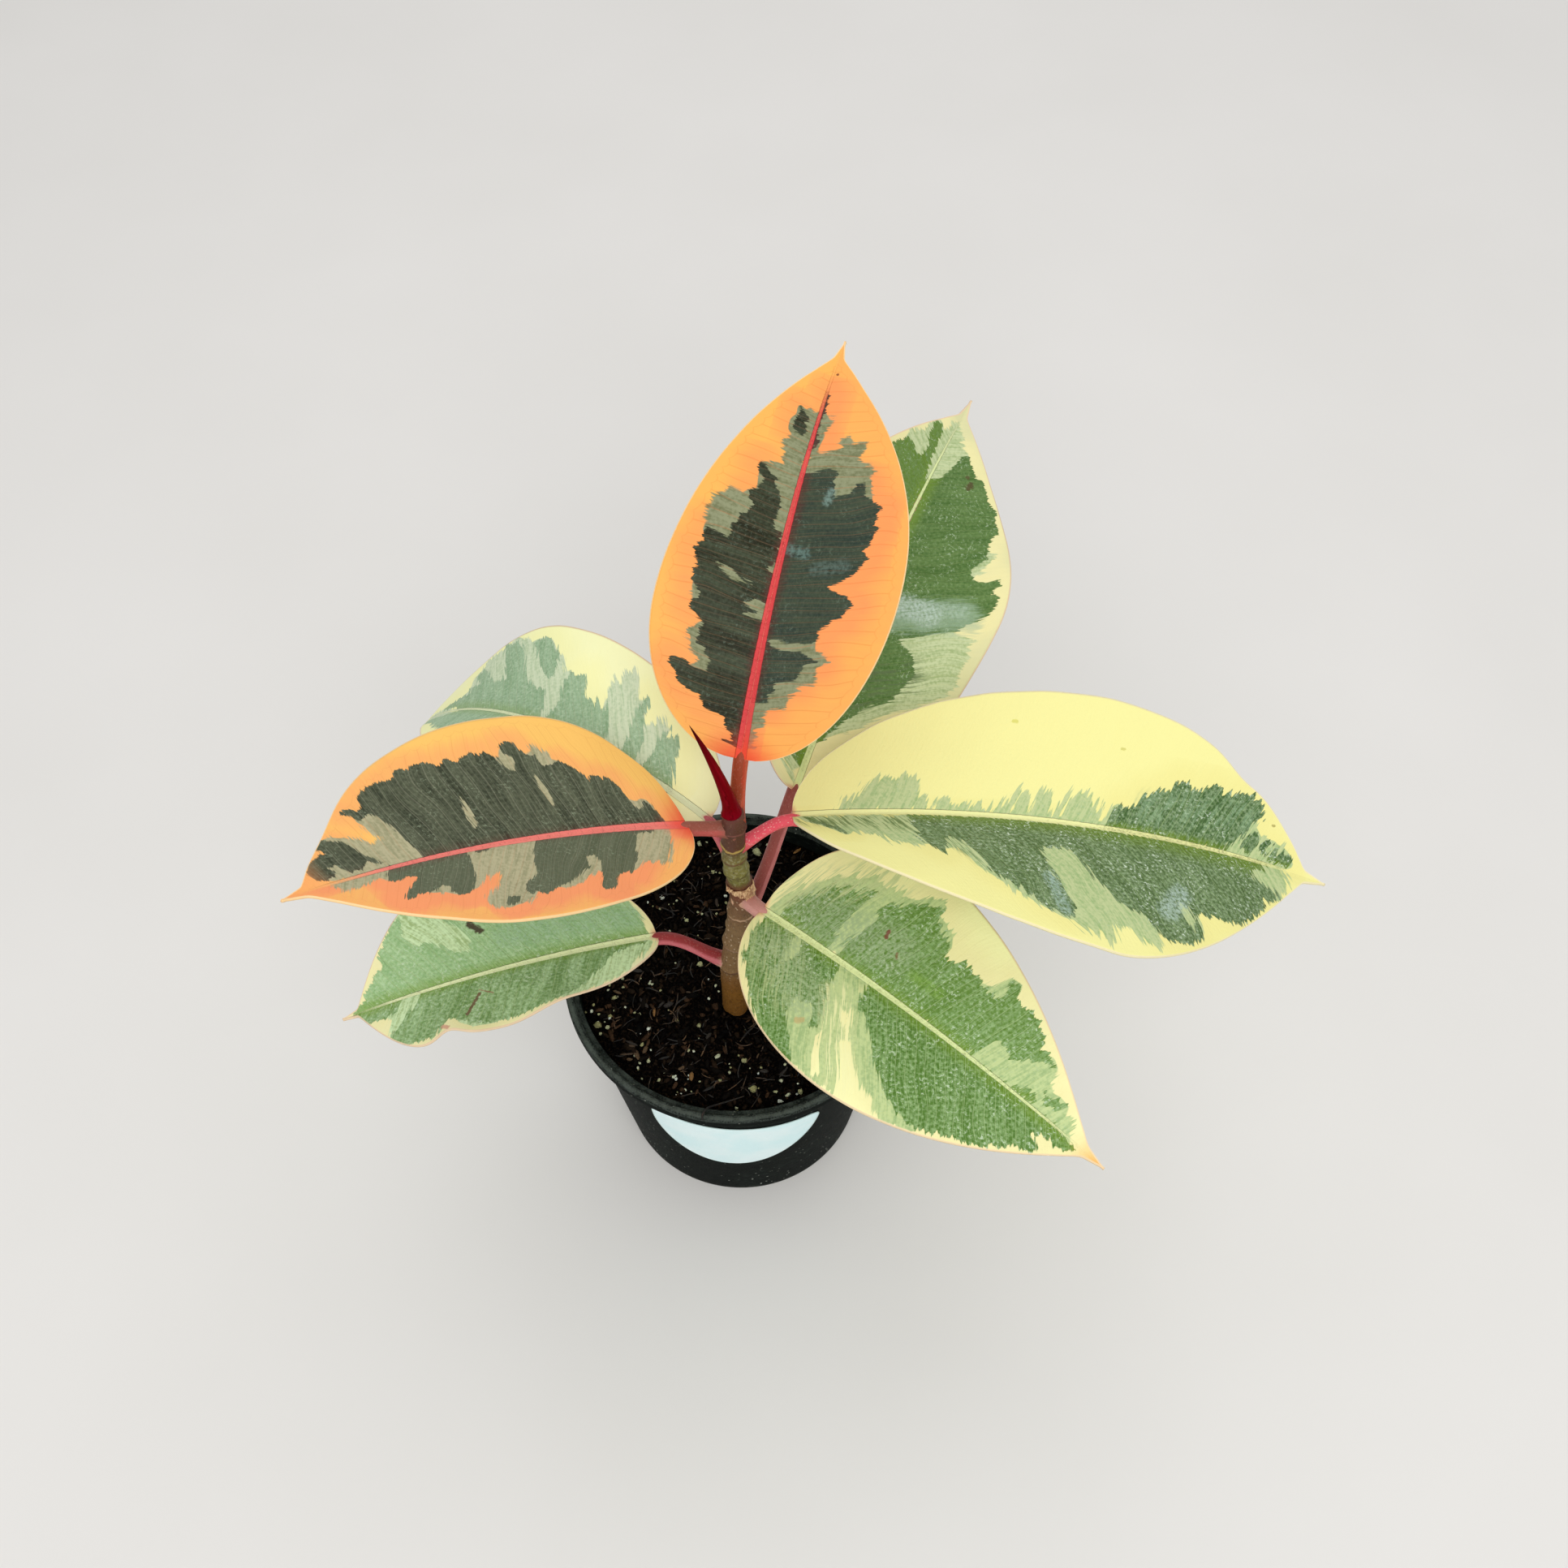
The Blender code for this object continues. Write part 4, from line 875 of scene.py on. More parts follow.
def leaf_finish(name, tints, length, back):
    """The finish of one side of a blade."""
    def over(colour, key, share):
        return blend(colour, tint(*tints[key]), share)

    material, wire, shader = start_material(name, BACK_SPECULAR if back else FACE_SPECULAR)
    along, sideways, edge = split(stored(wire, "blade", "Vector"))
    vein, band, cloud = split(stored(wire, "growth", "Vector"))
    reach = abs(sideways)
    left = soften(sideways, -0.5, 0.5)
    streak = grain(vein * 0.8, reach * 0.06, left * 9.0, 3.0)
    fine = grain(vein * 1.9, reach * 0.22, left * 9.0)
    hair = grain(vein * 4.5, reach * 0.5, left * 9.0, 1.0)
    blotch = grain(along * 1.1, sideways * 1.1, 31.0, 4.0)
    curl = grain(along * 0.75, sideways * 0.75, 17.0, 1.0)
    clouds = soften(cloud, 0.40, 0.60)

    coarse, middle, small = (size * 4.0 for size in tints["teeth"])
    green_depth, grey_depth = stored(wire, "green"), stored(wire, "grey")
    jag = (fine - 0.5) * middle + (hair - 0.5) * small
    is_green = soften(green_depth + (streak - 0.5) * coarse + jag, -0.12, 0.14)
    is_grey = soften(grey_depth + ((0.5 - streak) * coarse * 1.6 + jag * 1.4), -0.3, 0.4)
    is_grey = larger(is_grey, soften(green_depth + grey_depth, -1.5, -0.9))

    warmth = soften(green_depth, -9.0, -1.0) * 0.8 + (streak - 0.5) * 0.4 + (
        side_values(left, tints["warm_sides"]))
    colour = over(tint(*tints["margin"]), "warm", clamp(warmth))
    grey = over(tint(*tints["grey"]), "grey_2", soften(
        streak * 0.35 + fine * 0.3 + blotch * 0.35, 0.42, 0.62))
    green = blend(tint(*tints["green"][1]), tint(*tints["green"][0]), left)
    lighter = (band - 0.5) * 0.9 + (streak - 0.5) * 0.9 + (fine - 0.5) * 0.8 + (
        blotch - 0.5) * (tints["mottle"] * 3.5) + 0.36
    green = over(green, "green_2", clamp(lighter))
    shade = soften(reach + (fine - 0.5) * 3.0, side_values(left, tints["shade_reach"]), 0.6)
    green = over(green, "rib_shade", shade * tints["shade_share"])
    colour = blend(blend(colour, grey, is_grey), green, is_green)

    # painted glints: thin pale curls on the puckered green stand in for small highlights
    glint_curls = soften(abs(curl - 0.5), 0.035, 0.01) * soften(blotch, 0.48, 0.58)
    curl_share = (clouds * 0.8 + 0.2) * (is_green * 0.7 + is_grey * 0.15) * tints["mottle"]
    colour = over(colour, "glint", glint_curls * curl_share)

    gap = vein.node("Math", {"operation": "PINGPONG"}, {0: vein, 1: VEIN_GAP / 2.0})
    short = vein.node("Math", {"operation": "PINGPONG"}, {0: vein + streak, 1: VEIN_GAP / 5.0})
    moved_edge = edge + (cloud - 0.5) * 2.4
    arch = abs(moved_edge - 3.0 + gap * gap * 0.4)
    side_vein = soften(gap, 0.2, 0.05) * soften(moved_edge, 2.4, 3.2)
    net = larger(side_vein, soften(arch, 0.2, 0.05) * 0.72)
    colour = over(colour, "net", net * (1.0 - is_green) * tints["net_share"])
    dark_lines = larger(side_vein, soften(short, 0.16, 0.03) * 0.5)
    colour = over(colour, "dark_line", dark_lines * is_green * tints["line_share"])

    for kind, ends, radius, mark_tint, share in tints["marks"]:
        spot = spot_mask(along, sideways, ends, radius, blotch if kind == "spot" else fine)
        if kind == "streaks":
            spot = spot * soften(fine * 0.5 + streak * 0.5, 0.47, 0.57)
        # a cloudy patch: most of these marks are painted sheen on the green, a few are the leaf's own tint
        if kind == "bloom":
            spot = spot * soften(fine * 0.4 + blotch * 0.6, 0.34, 0.62)
        colour = blend(colour, tint(*mark_tint), spot * share)

    rib_foot, rib_tip = tints["rib"]
    rib_half = (1.0 - along / length) * (rib_foot - rib_tip) + rib_tip
    rib = soften(reach - rib_half + (streak - 0.5) * 0.3, 0.12, -0.12)
    rib = rib * soften(along, length * 0.97, length * 0.80)
    rib_colour = over(tint(*tints["midrib"]), "margin", soften(along, length * 0.75, length * 0.97))
    colour = blend(colour, rib_colour, rib * 0.92)
    flush = soften(along + reach * 0.55 + (streak - 0.5) * 3.0, tints["flush_reach"], 0.0)
    colour = over(colour, "flush", flush * (1.0 - is_green * 0.6) * 0.9)
    tip = soften(along + (streak - 0.5) * 2.0, length - tints["tip_reach"], length)
    colour = over(colour, "tip", tip)
    width = tints["rim_width"]
    rim = soften(edge + (fine - 0.5) * 0.2, width * 1.3, width * 0.7)
    colour = over(colour, "rim", rim * 0.9)

    roughness = fine * 0.14 + 0.38
    height = (abs(curl - 0.5) * tints["pucker"] * 3.0 - side_vein * 0.35) * (is_green * 0.9 + 0.1)
    height = height + rib * 1.6 + fine * 0.3
    if back:
        colour = over(colour, "back", tints["back_share"])
        roughness = fine * 0.1 + 0.55
        height = fine * 0.3 - side_vein * 0.6
    dress(wire, shader, colour, roughness, height, 0.00022)
    return material


print("vein gap, mm:", VEIN_GAP)


# %% Tints of each leaf, where they differ from the others of its age
# a mark: its kind, the two ends of a short line on the blade, its radius, its tint and its share
LEAF_TINTS = {
    "leaf_top": dict(
        YOUNG, marks=(("spot", (98.5, -1.0, 98.5, -1.0), 0.5, (120, 60, 30), 0.9),
                      # the three blue-grey patches below are painted highlights on the dark green
                      ("bloom", (51.5, -1.5, 51.0, -5.5), 2.0, (104, 132, 124), 0.7),
                      ("bloom", (48.0, -9.0, 50.0, -15.0), 2.4, (92, 112, 104), 0.6),
                      ("bloom", (64.5, -7.5, 67.0, -8.0), 1.6, (120, 146, 136), 0.8))),
    "leaf_left": dict(
        YOUNG, green=((84, 92, 68), (50, 56, 38)), green_2=(104, 110, 86), margin=(252, 198, 104),
        warm=(252, 158, 104), warm_sides=(0.4, -0.3), grey=(182, 176, 140),
        grey_2=(152, 150, 114), midrib=(246, 128, 118), rib=(1.35, 0.3), flush=(236, 66, 50),
        shade_share=0.3, net_share=0.12, dark_line=(140, 142, 118), mottle=0.35,
        glint=(170, 186, 156), tip=(250, 162, 98), tip_reach=14.0),
    "leaf_rear_right": dict(
        OLDER, green=((98, 130, 44), (74, 108, 48)), green_2=(112, 142, 82),
        grey=(200, 212, 164), grey_2=(162, 182, 126), margin=(222, 220, 168), mottle=0.5,
        line_share=0.35, dark_line=(132, 158, 92),
        # the sheen and the two pale patches after it are a painted reflection, with pale wrinkled
        # highlights
        marks=(("sheen", (57.0, -8.0, 66.0, -25.0), 6.5, (160, 186, 156), 0.62),
               ("bloom", (60.0, -6.0, 62.0, -16.0), 5.0, (196, 214, 202), 0.75),
               ("bloom", (64.0, -16.0, 67.0, -24.0), 3.0, (182, 204, 186), 0.5),
               ("streaks", (32.0, -6.0, 42.0, -16.0), 9.0, (92, 112, 72), 0.8),
               ("spot", (105.0, -11.0, 106.5, -11.4), 1.3, (86, 70, 44), 0.8),
               ("spot", (108.0, -9.5, 108.4, -9.7), 0.8, (96, 80, 52), 0.7),
               ("spot", (84.0, 0.0, 94.0, 0.0), 0.7, (214, 150, 132), 0.8))),
    "leaf_right": dict(
        OLDER, margin=(244, 239, 160), warm=(240, 232, 150), green=((72, 104, 54), (84, 110, 62)),
        green_2=(138, 162, 118), rib=(1.35, 0.4), rib_shade=(112, 140, 36), grey=(194, 206, 150),
        midrib=(240, 240, 168), shade_reach=(3.0, 8.0), shade_share=0.8, pucker=2.0, mottle=1.0,
        glint=(220, 232, 216), rim=(244, 232, 188), net_share=0.0, teeth=(1.6, 0.45, 0.15),
        line_share=0.35,
        marks=(("streaks", (92.0, 7.0, 116.0, 11.0), 7.0, (140, 172, 132), 0.5),
               ("streaks", (5.0, -5.0, 27.0, -7.0), 7.0, (100, 122, 68), 0.85),
               ("streaks", (36.0, -12.0, 46.0, -22.0), 5.0, (104, 128, 80), 0.8),
               # these two blue-white patches on the front half are painted sheen
               ("bloom", (96.0, -19.0, 91.0, -26.0), 4.0, (176, 198, 184), 0.9),
               ("bloom", (60.0, -24.0, 62.0, -34.0), 2.5, (158, 184, 168), 0.9),
               ("spot", (57.0, 28.0, 57.6, 28.0), 0.7, (214, 210, 96), 0.7),
               ("spot", (84.0, 22.5, 84.6, 22.5), 0.5, (204, 198, 104), 0.7),
               ("spot", (126.0, 10.5, 126.3, 10.5), 0.5, (168, 156, 84), 0.8))),
    "leaf_front_right": dict(
        OLDER, margin=(248, 246, 182), green=((100, 136, 58), (86, 124, 50)), rib=(1.05, 0.2),
        grey=(196, 212, 150), tip=(246, 178, 84), tip_reach=10.0, teeth=(1.2, 0.45, 0.15),
        mottle=1.0, rim=(240, 214, 172), midrib=(232, 244, 176),
        marks=(("streaks", (3.0, 8.0, 26.0, 24.0), 8.0, (198, 210, 152), 0.85),
               ("streaks", (8.0, -4.0, 20.0, -16.0), 11.0, (184, 200, 140), 0.7),
               ("streaks", (32.0, -8.0, 48.0, -26.0), 6.0, (246, 244, 184), 0.8),
               ("bloom", (44.0, 7.5, 52.0, 7.5), 2.0, (122, 164, 44), 0.6),
               # these two pale patches near the base are painted sheen, and also make up for the shade of
               # the leaves above
               ("bloom", (14.0, 6.0, 36.0, 10.0), 9.0, (164, 184, 142), 0.7),
               ("bloom", (10.0, -6.0, 28.0, -14.0), 8.0, (168, 188, 142), 0.7),
               ("spot", (32.6, 13.0, 32.9, 11.4), 0.7, (128, 66, 58), 0.85),
               ("spot", (37.6, 9.6, 38.2, 8.6), 0.5, (132, 76, 60), 0.6),
               ("spot", (29.6, -19.6, 30.4, -19.0), 1.2, (196, 150, 92), 0.5))),
    "leaf_rear_left": dict(
        OLDER, margin=(250, 251, 194), warm=(249, 248, 180),
        green=((140, 172, 134), (136, 168, 128)), green_2=(178, 204, 168),
        grey=(210, 222, 188), grey_2=(180, 200, 160), rib_shade=(140, 168, 106), net_share=0.0,
        dark_line=(186, 208, 166), mottle=0.5, midrib=(226, 236, 190), teeth=(1.3, 0.5, 0.2)),
    "leaf_lower_left": dict(
        # the right half, under leaf_left, gets a lighter green: painted light that makes up for the shade
        # of that leaf
        OLDER, green=((112, 146, 84), (144, 182, 124)), green_2=(182, 212, 162), rib=(1.1, 0.3),
        midrib=(234, 242, 188), margin=(240, 242, 200), grey=(206, 230, 180), mottle=0.6,
        marks=(("spot", (50.6, 6.6, 55.0, 12.6), 0.6, (112, 74, 56), 0.85),
               ("spot", (47.2, 7.6, 50.4, 5.4), 0.35, (150, 110, 84), 0.7),
               ("spot", (46.2, -12.4, 48.6, -15.0), 1.3, (74, 60, 46), 0.95),
               # this teal patch is painted sheen: blurred pale glints on the right half
               ("bloom", (6.0, -7.0, 40.0, -9.0), 5.0, (156, 190, 158), 0.5),
               ("spot", (60.6, 15.4, 61.4, 14.6), 0.9, (214, 150, 130), 0.8))),
}
for name, leaf in leaves.items():
    blade = add_blade(name + "_blade", leaf, PATCHES[name], VEIN_LEANS[name])
    sides = [leaf_finish(f"{name}_{side}", LEAF_TINTS[name], leaf.length, side == "back")
             for side in ("face", "back")]
    settle(blade, name, sides)
    print(blade.name, len(blade.data.polygons), "faces")

# %% [markdown]
# ## The leaf stalks
# A stalk leaves the stem almost level, bends up and runs on as the midrib under its blade. It is
# drawn as a line with a radius at each point, and Blender's curve bevel makes the tube, which a
# hand would find hard to keep round through the bend. The line is the measured model's.

# %% Tubes along a line
def start_line(name, bevel_resolution):
    """A curve that is round all the way along, with its radii in millimetres."""
    line = bpy.data.curves.new(name, "CURVE")
    line.dimensions = "3D"
    line.bevel_depth = MM
    line.bevel_resolution = bevel_resolution
    line.use_fill_caps = True
    return line


def add_run(line, kind, points, radii):
    """One run of a line through points in millimetres, with a radius at each."""
    run = line.splines.new(kind)
    run.points.add(len(points) - 1)
    rows = np.column_stack([np.array(points) * MM, np.ones(len(points))])
    run.points.foreach_set("co", rows.ravel())
    run.points.foreach_set("radius", np.array(radii, dtype=float))
    return run


def line_to_mesh(name, line):
    select_only(add_object(name, line))
    bpy.ops.object.convert(target="MESH")
    return bpy.context.object


def add_tube(name, points, radii, sides):
    """A closed tube along points, with a radius at each point."""
    line = start_line(name, sides // 2 - 2)
    add_run(line, "POLY", points, radii)
    tube = line_to_mesh(name, line)
    weld(tube)
    return tube


def follow_line(mesh, line):
    """Each point's way along a line in mm, and its offset from the line as right and up."""
    points = get_points(mesh) / MM
    line = np.array(line)
    edge = line[1:] - line[:-1]
    long = np.sqrt((edge**2).sum(1))
    away = points[:, None, :] - line[None, :-1]
    share = np.clip((away * edge).sum(-1) / long**2, 0.0, 1.0)
    offset = away - share[..., None] * edge
    nearest = (offset**2).sum(-1).argmin(1)
    rows = np.arange(len(points))
    along = np.concatenate([[0.0], np.cumsum(long)])[nearest] + share[rows, nearest] * long[nearest]
    offset = offset[rows, nearest]
    ahead = edge[nearest] / long[nearest, None]
    right = np.cross(ahead, [0.0, 0.0, 1.0])
    right /= np.maximum(np.linalg.norm(right, axis=1, keepdims=True), 1e-6)
    up = np.cross(right, ahead)
    return np.column_stack([along, (offset * right).sum(1), (offset * up).sum(1)])


print("tubes can be drawn")

# %% The line of a stalk and its midrib
STALK_SIDES = 16
STALK_STEPS = 26
RIB_STEPS = 56
RIB_END = 0.93
RIB_SINK = 0.85
RIB_TAPER = 0.78
RIB_COVER = 0.5
STALK_FLARE = 0.7


def stalk_line(leaf):
    radius = leaf.stalk_radius
    along, _, up = (Vector(part) for part in leaf.axes(np.array(0.0)))
    end = leaf.base - up * (radius * RIB_SINK)
    reach = (end - leaf.root).length / 3.0
    flat = Vector((end.x - leaf.root.x, end.y - leaf.root.y, 0.0)).normalized()
    first = leaf.root + (flat + Vector((0.0, 0.0, 0.3))).normalized() * reach
    second = end - along * reach
    points, radii = [], []
    for share in np.arange(STALK_STEPS) / STALK_STEPS:
        back = 1.0 - share
        points.append(leaf.root * back**3 + first * (3.0 * share * back**2)
                      + second * (3.0 * share**2 * back) + end * share**3)
        radii.append(radius * (1.0 + STALK_FLARE * back**5))
    shares = RIB_END * np.linspace(0.0, 1.0, RIB_STEPS) ** 1.4
    ribs = radius * (1.0 - RIB_TAPER * (shares / RIB_END) ** 0.7)
    sink = ribs * RIB_SINK + (ribs * (1.0 - RIB_SINK) + RIB_COVER) * np.minimum(1.0, shares / 0.02)
    under = leaf.midrib_point(shares) - leaf.axes(shares)[2] * sink[:, None]
    return np.vstack([points, under]), np.concatenate([radii, ribs])


print("stalk line of leaf_top:", len(stalk_line(leaves["leaf_top"])[0]), "points")

# %% [markdown]
# Young stalks are salmon to crimson, darker on top, with pale shoulders and pale dots. Under the
# blade the colour turns into the midrib's own back. Round and round the stalk is read from its
# offsets, so the streaks keep to its shoulders through every bend.

# %% The stalk's finish
DOT_TINT = (236, 190, 178)


def cells_at(place, sizes):
    """How far the nearest of many scattered spots is, with so many spots to a mm each way."""
    place = place.node("VectorMath", {"operation": "MULTIPLY"}, {0: place, 1: sizes})
    return place.node("TexVoronoi", sockets={"Vector": place, "Scale": 1.0})


def stalk_finish(name, main, top, shoulder, foot, dots, rib_back, stalk_length):
    material, wire, shader = start_material(name, 0.25)
    place = stored(wire, "stalk", "Vector")
    along, sideways, up = split(place)
    streak = grain(along * 0.12, sideways * 1.3, up * 1.3)
    fine = grain(along * 1.2, sideways * 3.0, up * 3.0, 3.0)
    colour = coat(
        tint(*main),
        (top, soften(up + (streak - 0.5) * 3.0, 0.2, 1.4) * 0.8),
        (shoulder, soften(abs(sideways) + (streak - 0.5) * 1.2, 1.15, 1.75) * 0.6),
        (DOT_TINT, soften(cells_at(place, (1.3, 1.9, 1.9)), 0.34, 0.16) * dots),
        (foot, soften(along + (streak - 0.5) * 4.0, 5.5, 2.0) * 0.85),
        (rib_back, soften(along, stalk_length + 2.0, stalk_length + 30.0) * 0.85))
    dress(wire, shader, colour, fine * 0.2 + 0.36, fine + streak * 0.6, 0.00025)
    return material


STALKS = {
    "leaf_top": dict(main=(200, 66, 43), top=(140, 65, 36), shoulder=(214, 96, 72),
                     foot=(150, 66, 48), dots=0.1, rib_back=(226, 112, 104)),
    "leaf_left": dict(main=(160, 74, 66), top=(146, 84, 66), shoulder=(196, 84, 80),
                      foot=(132, 84, 66), dots=0.1, rib_back=(226, 112, 104)),
    "leaf_rear_right": dict(main=(156, 72, 66), top=(146, 76, 70), shoulder=(214, 128, 128),
                            foot=(150, 70, 74), dots=0.1, rib_back=(206, 210, 160)),
    "leaf_right": dict(main=(234, 78, 96), top=(222, 84, 96), shoulder=(240, 104, 116),
                       foot=(196, 80, 84), dots=0.65, rib_back=(222, 216, 168)),
    "leaf_front_right": dict(main=(202, 136, 128), top=(200, 142, 132), shoulder=(224, 164, 154),
                             foot=(200, 160, 124), dots=0.15, rib_back=(206, 210, 160)),
    "leaf_rear_left": dict(main=(198, 88, 100), top=(188, 100, 104), shoulder=(214, 112, 116),
                           foot=(180, 92, 90), dots=0.1, rib_back=(216, 210, 170)),
    "leaf_lower_left": dict(main=(176, 54, 62), top=(140, 50, 50), shoulder=(222, 130, 136),
                            foot=(206, 186, 150), dots=0.12, rib_back=(206, 210, 160)),
}
for name, leaf in leaves.items():
    points, radii = stalk_line(leaf)
    stalk = add_tube(name + "_stalk", points, radii, STALK_SIDES)
    store(stalk.data, "stalk", follow_line(stalk.data, points))
    steps = np.linalg.norm(np.diff(points[:STALK_STEPS], axis=0), axis=1)
    stalk_length = float(steps.sum())
    finish = stalk_finish(name + "_stalk", stalk_length=stalk_length, **STALKS[name])
    settle(stalk, name, [finish])
    print(stalk.name, "is", round(stalk_length, 1), "mm long before its blade")

# %% [markdown]
# ## The stem
# The stem is young bark: brown and glossy at the soil, then grey-brown with pale breathing pores,
# olive above the last leaf scar and mauve where it is newest. It bends a little at each scar.

# %% The stem's form
RINGS = (106.0, 119.0, 128.0, 136.0, 150.0, 157.0, 163.5, 169.0, 177.0)
RING_RISE = 0.4
RING_HEIGHT = 1.1
STEM_FOOT, STEM_TOP = 55.0, 184.0
STEM_ROW = 0.5
STEM_SIDES = 40
DOME_HEIGHT = 1.4
DOME_LEAST = 0.12
BARK_RELIEF = 0.16
BARK_WIDE, BARK_TALL = 1.1, 3.5
BARK_FINE, BARK_FINE_SHARE = 0.8, 0.6


def stem_radius(height):
    ring = sum(math.exp(-((height - ring) / RING_HEIGHT) ** 2) for ring in RINGS)
    past = max(0.0, (height - STEM_TOP + DOME_HEIGHT) / DOME_HEIGHT)
    dome = math.sqrt(max(DOME_LEAST, 1.0 - past**2))
    return (along_line(height, 2) + RING_RISE * min(1.0, ring)) * dome


heights = np.arange(STEM_FOOT, STEM_TOP + 0.01, STEM_ROW)
points = [stem_axis(height) for height in heights]
stem = add_tube("stem_bark", points, [stem_radius(height) for height in heights], STEM_SIDES)
bark = get_points(stem.data) / MM
for index, (x, y, z) in enumerate(bark):
    axis = stem_axis(min(max(z, STEM_FOOT), STEM_TOP))
    outward = np.array([x - axis.x, y - axis.y, 0.0])
    outward /= max(np.linalg.norm(outward), 1e-6)
    rough = noise.noise(Vector((x / BARK_WIDE, y / BARK_WIDE, z / BARK_TALL)))
    rough += BARK_FINE_SHARE * noise.noise(Vector((x, y, z)) / BARK_FINE)
    bark[index] += outward * rough * BARK_RELIEF
set_points(stem.data, bark * MM)
print("stem has", len(stem.data.polygons), "faces")

# %% [markdown]
# Height decides the bark's colour, so a colour ramp over height carries the main story, and noise
# moves its borders up and down. The pores are stretched cells that show only on the grey part.

# %% The stem's finish
# the bark's colour by height, and its rings as height, colour and half width
BARK_STOPS = (
    (55.0, (106, 68, 32)), (92.0, (132, 90, 37)), (101.0, (124, 86, 45)), (108.0, (128, 99, 64)),
    (128.0, (128, 101, 66)), (141.0, (114, 82, 54)), (148.0, (108, 58, 38)), (152.5, (100, 68, 36)),
    (154.0, (108, 104, 46)), (161.0, (128, 120, 64)), (167.0, (110, 94, 54)),
    (170.0, (90, 53, 38)), (178.0, (86, 49, 37)), (184.0, (102, 58, 48)))
RING_LINES = (
    (136.0, (196, 160, 128), 0.5), (157.0, (92, 82, 42), 0.45), (163.5, (104, 66, 44), 0.5),
    (169.5, (186, 156, 84), 0.5), (177.0, (122, 72, 62), 0.4), (119.0, (150, 118, 96), 0.4),
    (151.0, (84, 38, 26), 0.7), (106.0, (90, 62, 46), 0.5))
STEM_SPAN = STEM_TOP - STEM_FOOT


def millimetres(wire):
    """The place of each point of a piece, in millimetres from the middle of the pot's foot."""
    place = wire.node("TexCoord", out="Object")
    return place.node("VectorMath", {"operation": "SCALE"}, {0: place, "Scale": 1.0 / MM})


def speckle(place, sizes, detail=2.0):
    """Soft noise by place, with so many spots to a millimetre each way."""
    return grain(*(part * size for part, size in zip(split(place), sizes)), detail)


material, wire, shader = start_material("stem_bark", 0.25)
place = millimetres(wire)
east, north, height = split(place)
cloud = speckle(place, (0.45, 0.45, 0.2))
fine = speckle(place, (1.6, 1.6, 0.8), 4.0)
patch = grain(east * 1.1, north * 1.1, height * 0.9 + 40.0)
newer = soften(height, 151.5, 154.0) * soften(height, 169.5, 167.0)
pores = soften(cells_at(place, (0.75, 0.75, 0.55)), 0.3, 0.16)
pores = pores * soften(height, 98.0, 108.0) * soften(height, 150.0, 140.0)
moved = height + (cloud - 0.5) * 3.0
rings = [(ring_tint, soften(abs(height + (cloud - 0.5) * 1.6 - ring), width, width * 0.4) * 0.8)
         for ring, ring_tint, width in RING_LINES]
colour = coat(
    read_ramp((moved - STEM_FOOT) / STEM_SPAN,
              [((z - STEM_FOOT) / STEM_SPAN, stop_tint) for z, stop_tint in BARK_STOPS]),
    ((64, 42, 28), soften(fine, 0.45, 0.2) * 0.7),
    ((186, 158, 120), soften(fine, 0.58, 0.8) * 0.4),
    ((152, 148, 112), soften(patch, 0.52, 0.64) * newer * 0.55),
    ((78, 68, 38), soften(patch, 0.44, 0.34) * newer * 0.6),
    ((206, 178, 144), pores * 0.6),
    *rings)
gloss = fine * 0.3 + 0.3 + soften(height, 96.0, 112.0) * 0.14
dress(wire, shader, colour, gloss, fine + pores * 0.8, 0.0003)
settle(stem, "stem", [material])
print("stem finished, from", STEM_FOOT, "to", STEM_TOP)

# %% [markdown]
# Where an old sheath tore off, papery shreds stay round the scar. Each is a small grid, laid on
# the stem by height and bearing, with a ragged free edge. A flat card would look cut out.

# %% Papery shreds at the scar
# height and bearing of the middle, then width round the stem, length down it, and lift of its end
SHREDS = (
    (149.6, 288.0, 4.4, 3.0, 0.4), (147.6, 306.0, 3.6, 5.5, 0.7), (144.8, 320.0, 2.8, 6.0, 0.6),
    (150.2, 258.0, 3.4, 1.6, 0.3), (142.0, 312.0, 2.0, 4.5, 0.5), (150.6, 226.0, 2.4, 1.2, 0.3),
    (149.2, 340.0, 3.4, 3.0, 0.5))
SHRED_CELLS = (10, 14)
SHRED_THICKNESS = 0.16
STANDOFF, CURL = 0.22, 0.12
NARROWING, TEAR = 0.45, 0.25


def shred_place(x, y, number, middle, bearing, width, length, lift):
    """Where a corner of a shred's grid comes to lie on the stem."""
    torn = noise.noise(Vector((x * 2.5, y * 1.2, number * 7.0)))
    down = (1.0 - y) / 2.0
    side = x * width / 2.0 * (1.0 - NARROWING * down) + torn * TEAR
    high = middle + length / 2.0 - down * length * (1.0 + torn * TEAR)
    radius = stem_radius(high) + STANDOFF + lift * down**2 + CURL * math.sin(x * 5.0 + number)
    angle = math.radians(bearing) + side / radius
    centre = stem_axis(high)
    return centre.x + radius * math.cos(angle), centre.y + radius * math.sin(angle), high


shreds = []
for number, values in enumerate(SHREDS):
    shred = add_grid("shred", *SHRED_CELLS)
    cells = get_points(shred.data)
    places = [shred_place(x, y, number, *values) for x, y, _ in cells]
    set_points(shred.data, np.array(places) * MM)
    thicken(shred, SHRED_THICKNESS, 0.0)
    apply_modifiers(shred)
    shreds.append(shred)
select_only(*shreds)
bpy.ops.object.join()
shreds = bpy.context.object
shreds.name = "papery_shreds"

material, wire, shader = start_material("papery_shreds")
fibre = speckle(millimetres(wire), (2.4, 2.4, 0.5), 4.0)
colour = blend(tint(136, 88, 54), tint(218, 182, 136), soften(fibre, 0.3, 0.65))
dress(wire, shader, colour, fibre * 0.2 + 0.6, fibre, 0.0002)
settle(shreds, "stem", [material])
print("shreds:", len(SHREDS))

# %% [markdown]
# ## The bud
# A new leaf waits rolled up in a crimson sheath like a thin horn. It is a tapering tube on a
# bent line, and the overlap of the roll is pressed in as a groove that winds up it.

